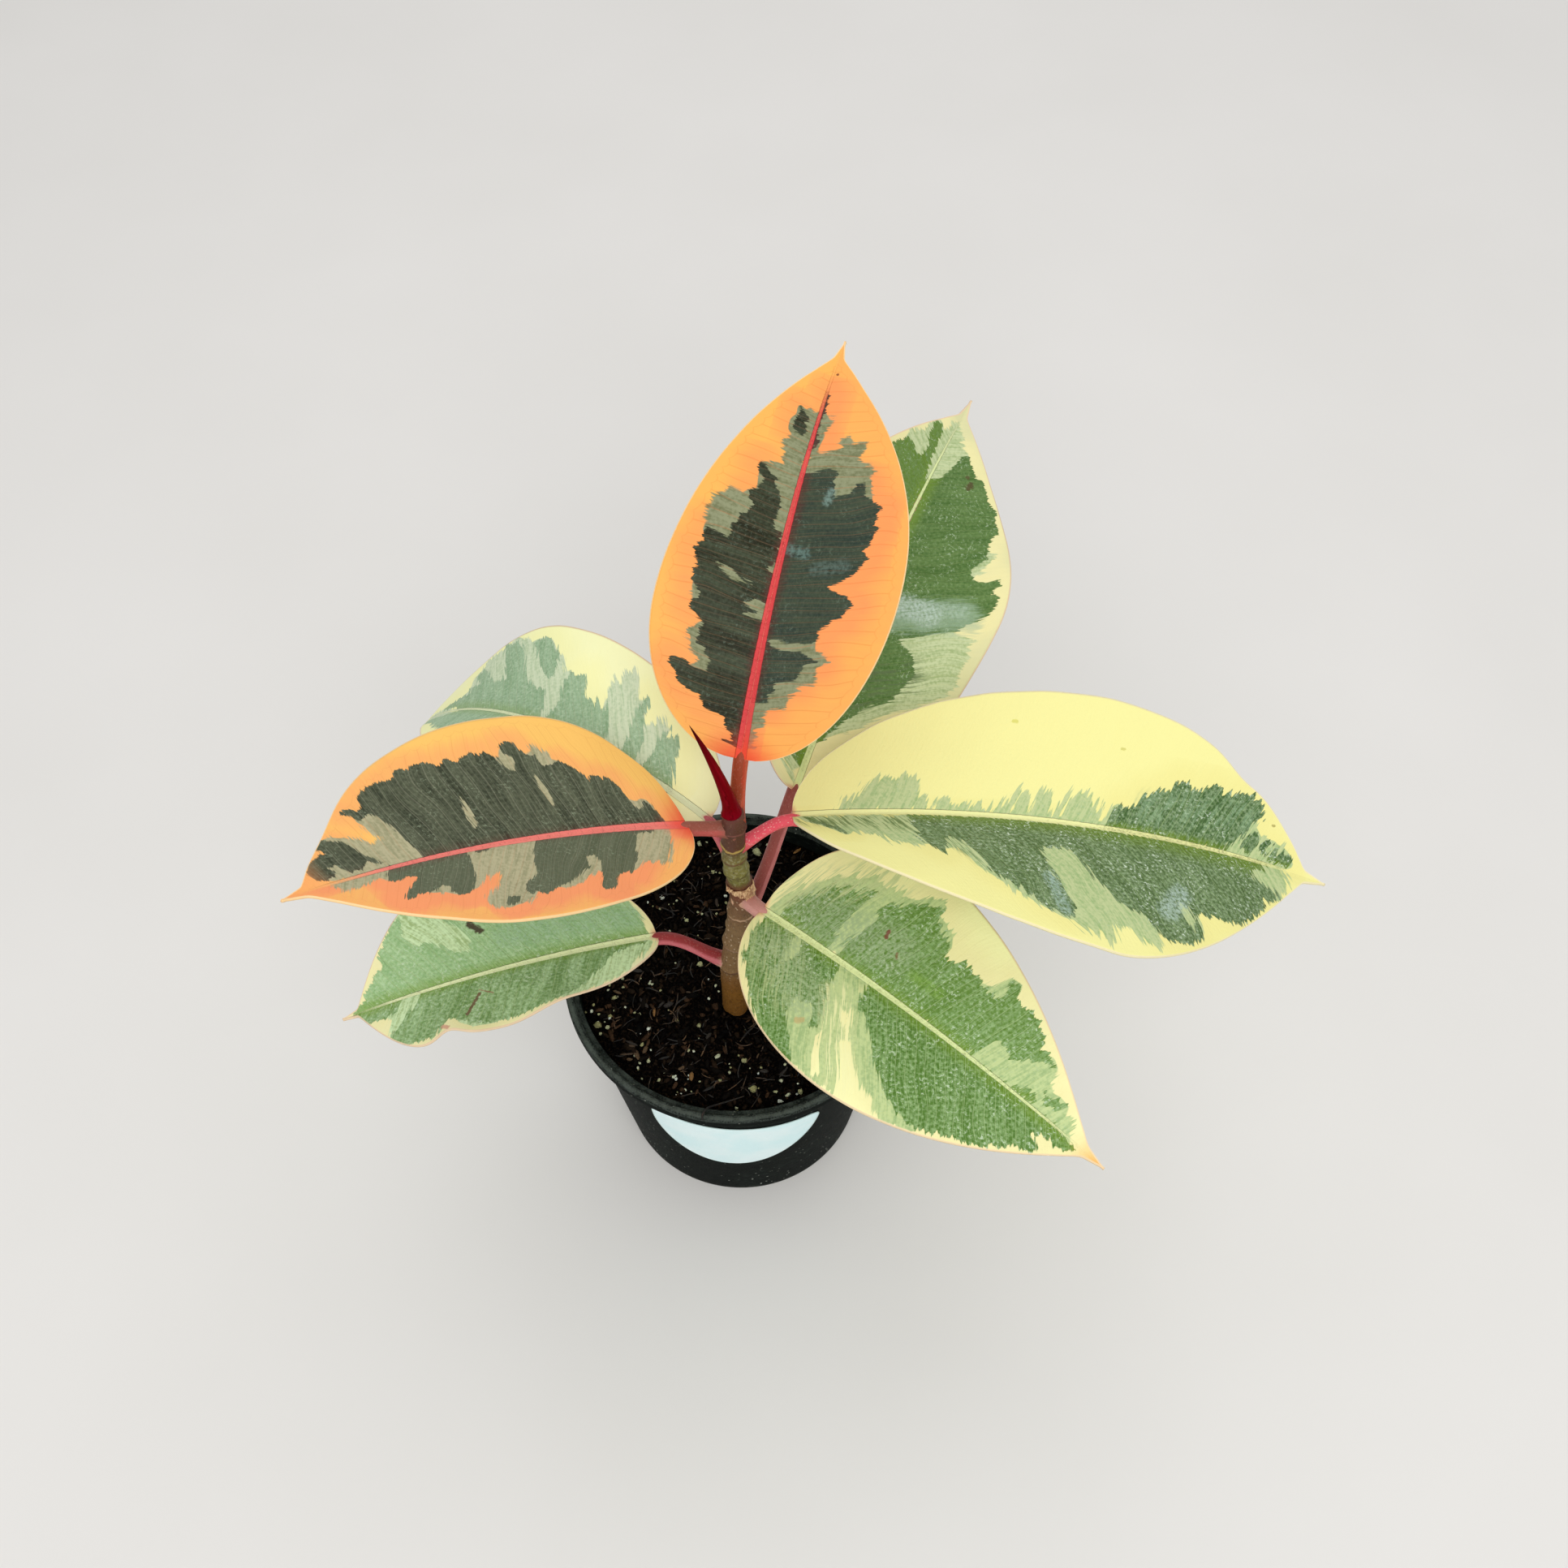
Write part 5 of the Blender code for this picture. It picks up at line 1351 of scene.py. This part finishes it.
# %% The sheath's form
BUD_LENGTH = 37.0
BUD_RADIUS = 2.0
BUD_FLARE, BUD_FLARE_SHARE = 0.6, 0.05
BUD_LEAN = 13.0
BUD_BEARING = 185.0
BUD_FOOT = stem_axis(STEM_TOP) + Vector((-0.4, -0.5, 0.3))
BUD_STEPS, BUD_END, BUD_SIDES = 90, 0.995, 28
SEAM_START, SEAM_TURN = -1.2, 1.6
SEAM_DEPTH = 0.3
SEAM_WIDTH = 0.45
SEAM_LEAST_RADIUS = 0.6

shares = np.linspace(0.0, BUD_END, BUD_STEPS)
lean = BUD_LENGTH * math.tan(math.radians(BUD_LEAN))
points = [BUD_FOOT + compass(BUD_BEARING) * (lean * share**1.4)
          + Vector((0.0, 0.0, BUD_LENGTH * share)) for share in shares]
radii = [BUD_RADIUS * (1.0 - share) ** 0.8 + BUD_FLARE * math.exp(-share / BUD_FLARE_SHARE)
         for share in shares]
bud = add_tube("bud_roll", points, radii, BUD_SIDES)
along, right, up = follow_line(bud.data, points).T
turned = np.arctan2(up, right)
seam = turned - (SEAM_START + SEAM_TURN * along / BUD_LENGTH)
seam = np.abs((seam + math.pi) % math.tau - math.pi) * np.hypot(right, up)
skin = get_points(bud.data) / MM
rows = np.array([point[:] for point in points])
centre = np.column_stack([np.interp(skin[:, 2], rows[:, 2], rows[:, axis]) for axis in (0, 1)])
away = skin[:, :2] - centre
press = SEAM_DEPTH * np.exp(-((seam / SEAM_WIDTH) ** 2)) * (1.0 - along / BUD_LENGTH / 1.1)
press /= np.maximum(np.hypot(*away.T), SEAM_LEAST_RADIUS)
skin[:, :2] = centre + away * (1.0 - press)[:, None]
set_points(bud.data, skin * MM)
store(bud.data, "roll", np.column_stack([along, seam, turned]))
print("bud faces:", len(bud.data.polygons))

# %% The sheath's finish
material, wire, shader = start_material("bud_roll", 0.008)
along, seam, turned = split(stored(wire, "roll", "Vector"))
stripe = grain(turned * 2.6, along * 0.07, 2.0, 3.0)
fine = grain(turned * 9.0, along * 0.5, 8.0)
red = read_ramp(along / BUD_LENGTH, (
    (0.0, (122, 4, 22)), (0.10, (110, 2, 13)), (0.55, (116, 4, 16)), (0.85, (92, 5, 14)),
    (1.0, (44, 12, 10))))
colour = coat(
    red, ((160, 20, 38), soften(stripe, 0.5, 0.75) * 0.45), ((56, 0, 8), soften(seam, 0.55, 0.1) * 0.7))
dress(wire, shader, colour, fine * 0.12 + 0.34, fine + stripe, 0.0001)
settle(bud, "bud_sheath", [material])
print("bud is", BUD_LENGTH, "mm tall")

# %% [markdown]
# ## The soil
# The mix is dark and moist, made of crumbs, with pale grains, bark and root fibres in it. The bed
# is one dense sheet, pressed round and raised by noise, and closed down to the pot's floor. The
# loose bits lie on it as small copies of a few shapes, because noise alone never throws a shadow.

# %% The bed of soil
POT_HEIGHT = 86.0
BASE_RADIUS = 38.2
WALL_TOP_RADIUS = 48.0
WALL = 1.2
FLOOR = 2.0
RIM_SKIRT = 4.0
SOIL_TOP = 79.5
LUMP_HEIGHT, LUMP_SIZE, SMALL_LUMP_SIZE = 1.2, 9.0, 3.5
CRUMB_HEIGHT, CRUMB_SIZE, SMALL_CRUMB_SIZE = 0.8, 2.4, 1.3
BED_CELLS = 170
BED_CLEAR = 0.3


def wall_radius(height):
    """The pot wall's outer radius at a height."""
    return BASE_RADIUS + (WALL_TOP_RADIUS - BASE_RADIUS) * height / (POT_HEIGHT - RIM_SKIRT)


SOIL_EDGE = wall_radius(SOIL_TOP) - WALL
BED_RADIUS = SOIL_EDGE - 0.05


def soil_height(x, y):
    """The measured surface: lumps that fade out at the wall."""
    lump = noise.noise(Vector((x, y, 0.0)) / LUMP_SIZE)
    lump += 0.5 * noise.noise(Vector((x, y, 9.0)) / SMALL_LUMP_SIZE)
    return SOIL_TOP + lump * LUMP_HEIGHT * (1.0 - min(1.0, math.hypot(x, y) / SOIL_EDGE) ** 6)


def crumb_height(x, y):
    """The measured surface with crumbs on it."""
    crumbs = abs(noise.noise(Vector((x, y, 3.0)) / CRUMB_SIZE))
    crumbs += 0.6 * noise.noise(Vector((x, y, 5.0)) / SMALL_CRUMB_SIZE)
    return soil_height(x, y) + crumbs * CRUMB_HEIGHT


bed = add_grid("soil_bed", BED_CELLS, BED_CELLS)
square = get_points(bed.data)
round_x = square[:, 0] * np.sqrt(1.0 - square[:, 1] ** 2 / 2.0) * BED_RADIUS
round_y = square[:, 1] * np.sqrt(1.0 - square[:, 0] ** 2 / 2.0) * BED_RADIUS
surface = [crumb_height(x, y) for x, y in zip(round_x, round_y)]
set_points(bed.data, np.column_stack([round_x, round_y, surface]) * MM)
print("bed of soil, mm across:", round(2.0 * BED_RADIUS, 1))

# %% Closing the bed down to the floor
DROP = 0.05
bpy.ops.object.mode_set(mode="EDIT")
bpy.ops.mesh.select_all(action="DESELECT")
bpy.ops.mesh.select_mode(type="VERT")
bpy.ops.mesh.select_non_manifold()
bpy.ops.mesh.extrude_edges_move(TRANSFORM_OT_translate={"value": (0.0, 0.0, -DROP)})
bpy.ops.mesh.edge_face_add()
bpy.ops.object.mode_set(mode="OBJECT")
closed = get_points(bed.data)
foot = closed[:, 2] < DROP
closed[foot, :2] *= (wall_radius(FLOOR + BED_CLEAR) - WALL - BED_CLEAR) / BED_RADIUS
closed[foot, 2] = (FLOOR + BED_CLEAR) * MM
set_points(bed.data, closed)
weld(bed)
print("soil bed faces:", len(bed.data.polygons))

# %% [markdown]
# Moist mix is nearly black, with brown where a crumb has dried. Height and noise decide which.

# %% The bed's finish
material, wire, shader = start_material("soil_bed", 0.02)
place = millimetres(wire)
lumps = speckle(place, (0.5, 0.5, 0.5))
crumbs = speckle(place, (1.4, 1.4, 1.4), 6.0)
colour = coat(
    tint(3, 2, 2),
    ((34, 25, 18), soften(crumbs, 0.48, 0.74)),
    ((70, 44, 26), soften(lumps, 0.6, 0.75) * soften(crumbs, 0.5, 0.62) * 0.6))
dress(wire, shader, colour, crumbs * 0.4 + 0.55, crumbs, 0.0006)
settle(bed, "soil", [material])
print("soil bed is", round(bed.dimensions.z / MM, 1), "mm deep")

# %% [markdown]
# One crumb, grain or chip is modelled once from a small sphere, then copied into one mesh, each
# copy turned, stretched and dented its own way. Each copy also stores a shade, so that one
# finish gives every bit its own colour.

# %% Scattering copies of one shape
STEM_CLEAR = 4.6
def scatter(name, subdivisions, bits, dents, draw):
    """Copies of a small ball in one mesh, from rows of place, half sizes, tilt and maybe shade."""
    bpy.ops.mesh.primitive_ico_sphere_add(subdivisions=subdivisions, radius=1.0)
    heap = bpy.context.object
    heap.name = name
    ball = get_points(heap.data)
    faces = np.array([tuple(face.vertices) for face in heap.data.polygons])
    points, corners, shades = [], [], []
    for place, sizes, tilt, *shade in bits:
        dented = ball * (1.0 + draw.uniform(-dents, dents, (len(ball), 1)))
        turn, lean = draw.uniform(0.0, math.tau), draw.uniform(-tilt, tilt)
        spin = np.array(((math.cos(turn), -math.sin(turn), 0.0),
                         (math.sin(turn), math.cos(turn), 0.0), (0.0, 0.0, 1.0)))
        tip = np.array(((1.0, 0.0, 0.0), (0.0, math.cos(lean), -math.sin(lean)),
                        (0.0, math.sin(lean), math.cos(lean))))
        corners.append(faces + len(ball) * len(points))
        points.append(dented * sizes @ tip.T @ spin.T + place)
        shades.append(np.full(len(ball), shade[0] if shade else draw.random()))
    mesh = bpy.data.meshes.new(name)
    mesh.from_pydata((np.vstack(points) * MM).tolist(), [], np.vstack(corners).tolist())
    heap.data = mesh
    store(mesh, "shade", np.concatenate(shades))
    return heap


def on_soil(x, y, lift):
    """The place a little above the crumbs at (x, y)."""
    return np.array((x, y, crumb_height(x, y) + lift))


def draw_place(draw, edge, clear=STEM_CLEAR):
    """A random place on the soil, clear of the stem and of the wall."""
    while True:
        reach, bearing = edge * math.sqrt(draw.random()), draw.uniform(0.0, math.tau)
        x, y = reach * math.cos(bearing), reach * math.sin(bearing)
        if math.hypot(x, y - STEM_Y) > clear:
            return x, y


draw = np.random.default_rng(4)
print("a place on the soil:", draw_place(draw, BED_RADIUS))

# %% Dark crumbs
CRUMB_COUNT = 1600
bits = []
for _ in range(CRUMB_COUNT):
    size = draw.uniform(0.35, 1.0) * (1.0 + 0.6 * (draw.random() < 0.15))
    x, y = draw_place(draw, BED_RADIUS - size * 1.2)
    shape = (draw.uniform(0.9, 2.0), draw.uniform(0.5, 0.9), draw.uniform(0.35, 0.6))
    bits.append((on_soil(x, y, size * 0.2), size * np.array(shape), 1.1))
crumbs = scatter("soil_crumbs", 1, bits, 0.28, draw)

material, wire, shader = start_material("soil_crumbs", 0.05)
rough = speckle(millimetres(wire), (2.5, 2.5, 2.5), 4.0)
brown = read_ramp(stored(wire, "shade"), (
    (0.0, (4, 3, 3)), (0.45, (19, 14, 10)), (0.85, (42, 30, 20)), (1.0, (76, 54, 38))))
colour = coat(brown, ((2, 2, 2), soften(rough, 0.55, 0.35) * 0.55))
dress(wire, shader, colour, rough * 0.4 + 0.5, rough, 0.0003)
settle(crumbs, "soil", [material])
print("crumbs:", CRUMB_COUNT)

# %% [markdown]
# The pale grains are puffed volcanic glass. The large ones lie where they lie on the real soil,
# read in millimetres from the pot's middle, and small ones are strewn between them.

# %% Pale grains
# east, north and width of each large grain
GRAINS = """
-23.5,24.2,2.2 -15.6,15.8,1.7 -11.1,0.8,2.5 -25.5,-5.1,1.9 -35.9,-9.7,1.9 -36.8,-15.7,1.7
-40.2,-18.5,3.1 -37.3,-19.4,1.9 -44,-14.4,0.9 -42.3,-14.2,1.2 -25.5,-19.6,1.9 -10.8,-18.8,1.6
-27.1,-24.8,1.4 -5.3,-28.5,2 -25,-29.8,1.9 2.4,-29.8,2.2 -28.3,-21.4,1.4 -21.8,-35.8,1.4
-17.7,-34.8,1.4 5.1,-38.8,3 -4.4,-36,1.2 12.8,-42.4,2 18.4,-39.5,2.3 13,-35.8,1.6 14.9,-40.4,1.8
11.4,-39.4,1.4 -6.6,18.3,1.2 -3.7,22.1,1.5 -11,18.3,1 -17.4,-16.7,1.4 -13.8,-26.3,1.4
-33.9,-3.5,1.2 -33.5,-6.4,1.2 -37.6,-5.5,1.2 -12.5,43.2,2.3 5.5,40.1,3.6 8.8,42.4,2.2
-4,24.9,1.2 -1.5,-31.6,0.9 24,-22,2 30,-8,2.4 18,2,1.8 34,12,2.2 22,26,2.6 -34,22,2.1
-28,34,2.4 12,20,1.6 38,-14,1.7 28,-30,2 -8,33,1.8"""
SMALL_GRAINS = 170
WIDTH_TO_HALF = 2.75

bits = []
for x, y, width in read_outline(GRAINS.strip()):
    size = width / WIDTH_TO_HALF
    shape = (draw.uniform(0.95, 1.3), draw.uniform(0.75, 1.0), 0.8)
    bits.append((on_soil(x, y, size * 0.45), size * np.array(shape), 0.7))
for _ in range(SMALL_GRAINS):
    size = draw.uniform(0.18, 0.42)
    x, y = draw_place(draw, BED_RADIUS - 1.0)
    bits.append((on_soil(x, y, size * 0.7), size * np.array((1.2, 1.0, 0.9)), 0.7))
grains = scatter("pale_grains", 2, bits, 0.3, draw)

material, wire, shader = start_material("pale_grains", 0.35)
pits = cells_at(millimetres(wire), (2.6, 2.6, 2.6))
pale = read_ramp(stored(wire, "shade"), (
    (0.0, (150, 146, 96)), (0.4, (188, 190, 146)), (0.75, (218, 224, 196)), (1.0, (236, 244, 236))))
colour = coat(pale, ((92, 84, 66), soften(pits, 0.35, 0.12) * 0.5))
dress(wire, shader, colour, pits * 0.2 + 0.7, pits, 0.0004)
settle(grains, "soil", [material])
print("pale grains:", len(bits))

# %% [markdown]
# Bark chips are flat and torn, so the same ball is stretched one way and flattened. Fibres are a
# handful of short bent lines, and one long one hangs over the front of the rim.

# %% Bark chips
# east, north, length and shade of each chip that lies apart
CHIPS = """
-12.6,-34.8,2.6,7 -28.4,-28.1,3.4,6 -26.1,-26.4,2.6,6 -30.1,-25.5,2.2,5 -15.4,-31.8,2.3,6
-30.5,-29.5,2,6 8,-33,2.6,2 -20,-12,3,2 -8,-22,2.4,3 16,-30,3,3"""
CHIP_COUNT = 45
CHIP_SLIMNESS = 2.1
CHIP_HALF_THICKNESS = 0.4
PALEST_SHADE = 7.4
bits = []
for x, y, length, shade in read_outline(CHIPS.strip()):
    half = length / 2.0
    sizes = np.array((half, half / CHIP_SLIMNESS, CHIP_HALF_THICKNESS))
    bits.append((on_soil(x, y, 0.5), sizes, 0.45, shade / PALEST_SHADE))
for _ in range(CHIP_COUNT):
    half = draw.uniform(0.8, 2.2)
    x, y = draw_place(draw, BED_RADIUS - half)
    sizes = np.array((half, half * draw.uniform(0.2, 0.4), 0.25))
    bits.append((on_soil(x, y, 0.35), sizes, 0.6))
chips = scatter("bark_chips", 2, bits, 0.2, draw)

material, wire, shader = start_material("bark_chips")
fibre = speckle(millimetres(wire), (0.9, 3.2, 3.2), 4.0)
brown = read_ramp(stored(wire, "shade"), (
    (0.0, (10, 7, 5)), (0.5, (36, 25, 15)), (0.85, (84, 60, 30)), (1.0, (138, 96, 44))))
colour = coat(brown, ((26, 16, 12), soften(fibre, 0.5, 0.3) * 0.7))
dress(wire, shader, colour, fibre * 0.3 + 0.55, fibre, 0.0003)
settle(chips, "soil", [material])
print("bark chips:", len(bits))

# %% Root fibres
FIBRE_COUNT = 340
FIBRE_POINTS = 7
FEWEST_POINTS = 4
RIM_FIBRE_RADIUS = 0.3
RIM_FIBRE = ((2.5, -41.0, 80.6), (-2.5, -43.0, 81.2), (-5.6, -44.6, 82.6), (-7.2, -46.2, 85.2),
             (-8.0, -47.6, 86.55), (-8.7, -48.6, 86.5), (-9.0, -49.8, 86.35), (-8.7, -50.6, 86.1))


def fibre_points(draw):
    """A short bent line that lies on the soil."""
    x, y = draw_place(draw, BED_RADIUS - 4.0, clear=7.0)
    heading, bend = draw.uniform(0.0, math.tau), draw.normal(0.0, 0.16)
    step, row = draw.uniform(0.3, 1.0), []
    for _ in range(FIBRE_POINTS):
        row.append((x, y, soil_height(x, y) + draw.uniform(0.35, 0.9)))
        heading += bend
        x, y = x + step * math.cos(heading), y + step * math.sin(heading)
        if math.hypot(x, y) > BED_RADIUS - 0.5:
            break
    return row


lines = [(RIM_FIBRE, RIM_FIBRE_RADIUS)]
while len(lines) < FIBRE_COUNT:
    row = fibre_points(draw)
    if len(row) >= FEWEST_POINTS:
        lines.append((row, draw.uniform(0.08, 0.24)))
curve = start_line("root_fibres", 1)
for row, radius in lines:
    run = add_run(curve, "NURBS", row, [radius / 2.0] + [radius] * (len(row) - 2) + [radius / 2.0])
    run.use_endpoint_u = True
    run.order_u = 3
    run.resolution_u = 2
fibres = line_to_mesh("root_fibres", curve)

material, wire, shader = start_material("root_fibres")
place = millimetres(wire)
patch = speckle(place, (0.25, 0.25, 0.25))
fine = speckle(place, (3.0, 3.0, 3.0))
colour = blend(tint(16, 11, 8), tint(98, 70, 42), soften(patch + (fine - 0.5) * 0.4, 0.45, 0.75))
dress(wire, shader, colour, fine * 0.3 + 0.5, fine, 0.0001)
settle(fibres, "soil", [material])
print("fibres:", len(lines), "faces:", len(fibres.data.polygons))

# %% [markdown]
# ## The pot
# A nursery pot is thin moulded plastic: a tapering wall, a rolled lip and drain holes. A profile
# turned about its axis is how the mould was cut, so the same is done here, in more steps than the
# measured model has and with small rounds on its lip.

# %% Turning the pot
RIM_RADIUS = 51.0
RIM_ROUND, LIP_ROUND, EDGE_ROUND, FOOT_ROUND = 0.9, 0.5, 0.4, 1.5
LIP_DIP = 1.0
RIM_THICKNESS = 2.4
INSIDE = wall_radius(POT_HEIGHT) - WALL
POT_STEPS = 160
POT_WELD = 0.00001


def arc(x, z, radius, start, end, steps=5):
    """Points on a small round about (x, z), from one angle to another in degrees."""
    angles = np.radians(np.linspace(start, end, steps))
    return [(x + radius * math.cos(angle), z + radius * math.sin(angle)) for angle in angles]


# the floor and the inside of the wall
profile = [(0.0, FLOOR), (12.0, FLOOR), (34.0, FLOOR)]
profile += arc(wall_radius(FLOOR) - WALL - 1.0, FLOOR + 1.0, 1.0, -90.0, -8.0)
profile += [(wall_radius(z) - WALL, z) for z in (20.0, 40.0, 60.0, 78.0)]
# the lip, which dips a little between the wall and the rolled rim
profile += arc(INSIDE - EDGE_ROUND, POT_HEIGHT - LIP_DIP - EDGE_ROUND, EDGE_ROUND, -8.0, 90.0)[:3]
profile += [(INSIDE + 0.2, POT_HEIGHT - LIP_DIP), (INSIDE + 1.3, POT_HEIGHT - LIP_DIP)]
profile += arc(INSIDE + 2.1, POT_HEIGHT - LIP_ROUND, LIP_ROUND, 180.0, 90.0)
# the rolled rim, open underneath
profile += arc(RIM_RADIUS - RIM_ROUND, POT_HEIGHT - RIM_ROUND, RIM_ROUND, 90.0, 0.0, 7)
profile += arc(
    RIM_RADIUS - EDGE_ROUND, POT_HEIGHT - RIM_SKIRT + EDGE_ROUND, EDGE_ROUND, 0.0, -90.0)
profile += [(RIM_RADIUS - WALL, POT_HEIGHT - RIM_SKIRT)]
profile += [(RIM_RADIUS - WALL, POT_HEIGHT - RIM_THICKNESS)]
profile += [(wall_radius(POT_HEIGHT - RIM_THICKNESS), POT_HEIGHT - RIM_THICKNESS)]
# the outside of the wall and the underside
profile += [(wall_radius(z), z) for z in (80.0, 62.0, 44.0, 26.0, 10.0, 4.0)]
profile += arc(wall_radius(FOOT_ROUND) - FOOT_ROUND, FOOT_ROUND, FOOT_ROUND, 0.0, -90.0, 6)
profile += [(30.0, 0.0), (12.0, 0.0), (0.0, 0.0)]

mesh = bpy.data.meshes.new("pot_wall")
rows = [(x * MM, 0.0, z * MM) for x, z in profile]
mesh.from_pydata(rows, [(index, index + 1) for index in range(len(rows) - 1)], [])
pot = add_object("pot_wall", mesh)
turn = pot.modifiers.new("Turn", "SCREW")
turn.steps = POT_STEPS
turn.render_steps = POT_STEPS
turn.use_merge_vertices = True
turn.merge_threshold = POT_WELD
apply_modifiers(pot)
weld(pot, POT_WELD)
print("pot faces:", len(pot.data.polygons))

# %% Drain holes
HOLE_COUNT = 6
HOLE_RADIUS = 4.0
HOLE_CIRCLE = 26.0

for number in range(HOLE_COUNT):
    middle = compass(360.0 * (number + 0.5) / HOLE_COUNT) * HOLE_CIRCLE * MM
    bpy.ops.mesh.primitive_cylinder_add(
        vertices=32, radius=HOLE_RADIUS * MM, depth=8.0 * MM, location=middle)
    drill = bpy.context.object
    cut = pot.modifiers.new("Drain", "BOOLEAN")
    cut.operation = "DIFFERENCE"
    cut.solver = "EXACT"
    cut.object = drill
    apply_modifiers(pot)
    bpy.data.objects.remove(drill, do_unlink=True)
print("pot faces with its holes:", len(pot.data.polygons))

# %% [markdown]
# The plastic is nearly black with a green cast and a soft sheen. Handling leaves long faint
# scuffs, and watering leaves dust and splashes near the foot and on the lip. The lip also gets
# a painted highlight on its round top, painted shade in the dip inside it, and painted light on
# its upper faces.

# %% The pot's finish
material, wire, shader = start_material("pot_plastic", 0.004)
place = millimetres(wire)
east, north, height = split(place)
cloud = speckle(place, (0.06, 0.06, 0.09), 3.0)
scuff = speckle(place, (0.35, 0.35, 2.2), 4.0)
grit = speckle(place, (2.2, 2.2, 2.2), 4.0)
low = soften(height, 22.0, 2.0)
lip = soften(height, 84.2, 85.6)
reach = straight(east, north)
speck = soften(cells_at(place, (0.42, 0.42, 0.42)), 0.17, 0.10)
speck = speck * soften(cloud + (grit - 0.5) * 0.5, 0.42, 0.6)
dust = speck * (low * 0.85 + lip * 0.4 + 0.3)
foot = soften(height, 3.4, 0.6) * soften(grit, 0.42, 0.62)
colour = coat(
    tint(11, 14, 13),
    ((24, 29, 26), cloud),
    ((66, 76, 70), soften(scuff + (cloud - 0.5) * 0.5, 0.56, 0.78) * 0.4),
    ((176, 182, 170), dust),
    ((128, 130, 118), foot * 0.35),
    # painted highlight: a light line along the round top of the rolled rim
    ((84, 90, 84), lip * soften(abs(reach - 50.1), 0.7, 0.2) * 0.5),
    # painted shade: a dark line in the dip inside the roll
    ((8, 10, 9), lip * soften(abs(reach - 49.0), 0.4, 0.1) * 0.7),
    # painted light: lighter mottled patches over the lip's upward faces
    ((96, 104, 98), lip * soften(scuff + grit, 0.7, 1.2) * 0.45))
dress(wire, shader, colour, cloud * 0.16 + scuff * 0.2 + 0.24, grit + dust * 2.0, 0.00012)
settle(pot, "pot", [material])
select_only(pot)
bpy.ops.object.shade_smooth_by_angle(angle=math.radians(40.0))
print("pot is", round(pot.dimensions.x / MM, 1), "mm wide")

# %% [markdown]
# ## The sticker
# A half oval of coated paper is pressed on the front and follows the cone of the wall, a little
# askew. It is cut from a grid whose rows narrow with depth, then bent round the wall by bearing.

# %% The sticker's form
LABEL_HALF_WIDTH = 25.5
LABEL_HEIGHT = 36.8
LABEL_TOP = 70.3
LABEL_TILT = math.radians(4.0)
LABEL_CORNER = 3.0
LABEL_CELLS = (72, 48)
LABEL_STANDOFF = 0.12
LABEL_THICKNESS = 0.3
LABEL_END = 0.95

label = add_grid("bare_sticker", *LABEL_CELLS)
cells = get_points(label.data)
depth = LABEL_HEIGHT * np.sin((1.0 - cells[:, 1]) / 2.0 * math.pi / 2.0 * LABEL_END)
half = LABEL_HALF_WIDTH * np.sqrt(1.0 - (depth / LABEL_HEIGHT) ** 2)
near_top = np.clip(LABEL_CORNER - depth, 0.0, None)
half -= np.where(near_top > 0.0, LABEL_CORNER - np.sqrt(LABEL_CORNER**2 - near_top**2), 0.0)
across = cells[:, 0] * half
along = across * math.cos(LABEL_TILT) - depth * math.sin(LABEL_TILT)
high = LABEL_TOP - depth * math.cos(LABEL_TILT) - across * math.sin(LABEL_TILT)
radius = wall_radius(high) + LABEL_STANDOFF
bearing = along / radius
bent = np.column_stack([radius * np.sin(bearing), -radius * np.cos(bearing), high])
set_points(label.data, bent * MM)
store(label.data, "edge", np.minimum(half - np.abs(across), depth))
thicken(label, LABEL_THICKNESS, 1.0)
apply_modifiers(label)
print("sticker faces:", len(label.data.polygons))

# %% The sticker's finish
material, wire, shader = start_material("bare_sticker", 0.35)
place = millimetres(wire)
cloud = speckle(place, (0.08, 0.08, 0.08))
fine = speckle(place, (1.5, 1.5, 1.5), 4.0)
edge = stored(wire, "edge")
colour = coat(
    tint(222, 251, 253),
    ((234, 254, 255), soften(cloud, 0.35, 0.65)),
    ((190, 214, 204), soften(edge + (fine - 0.5) * 0.4, 0.5, 0.1) * 0.6),
    ((198, 216, 208), soften(fine, 0.64, 0.8) * 0.25))
dress(wire, shader, colour, fine * 0.15 + 0.38, fine + cloud, 0.0001)
settle(label, "label", [material])
print("sticker is", round(label.dimensions.x / MM, 1), "mm across")
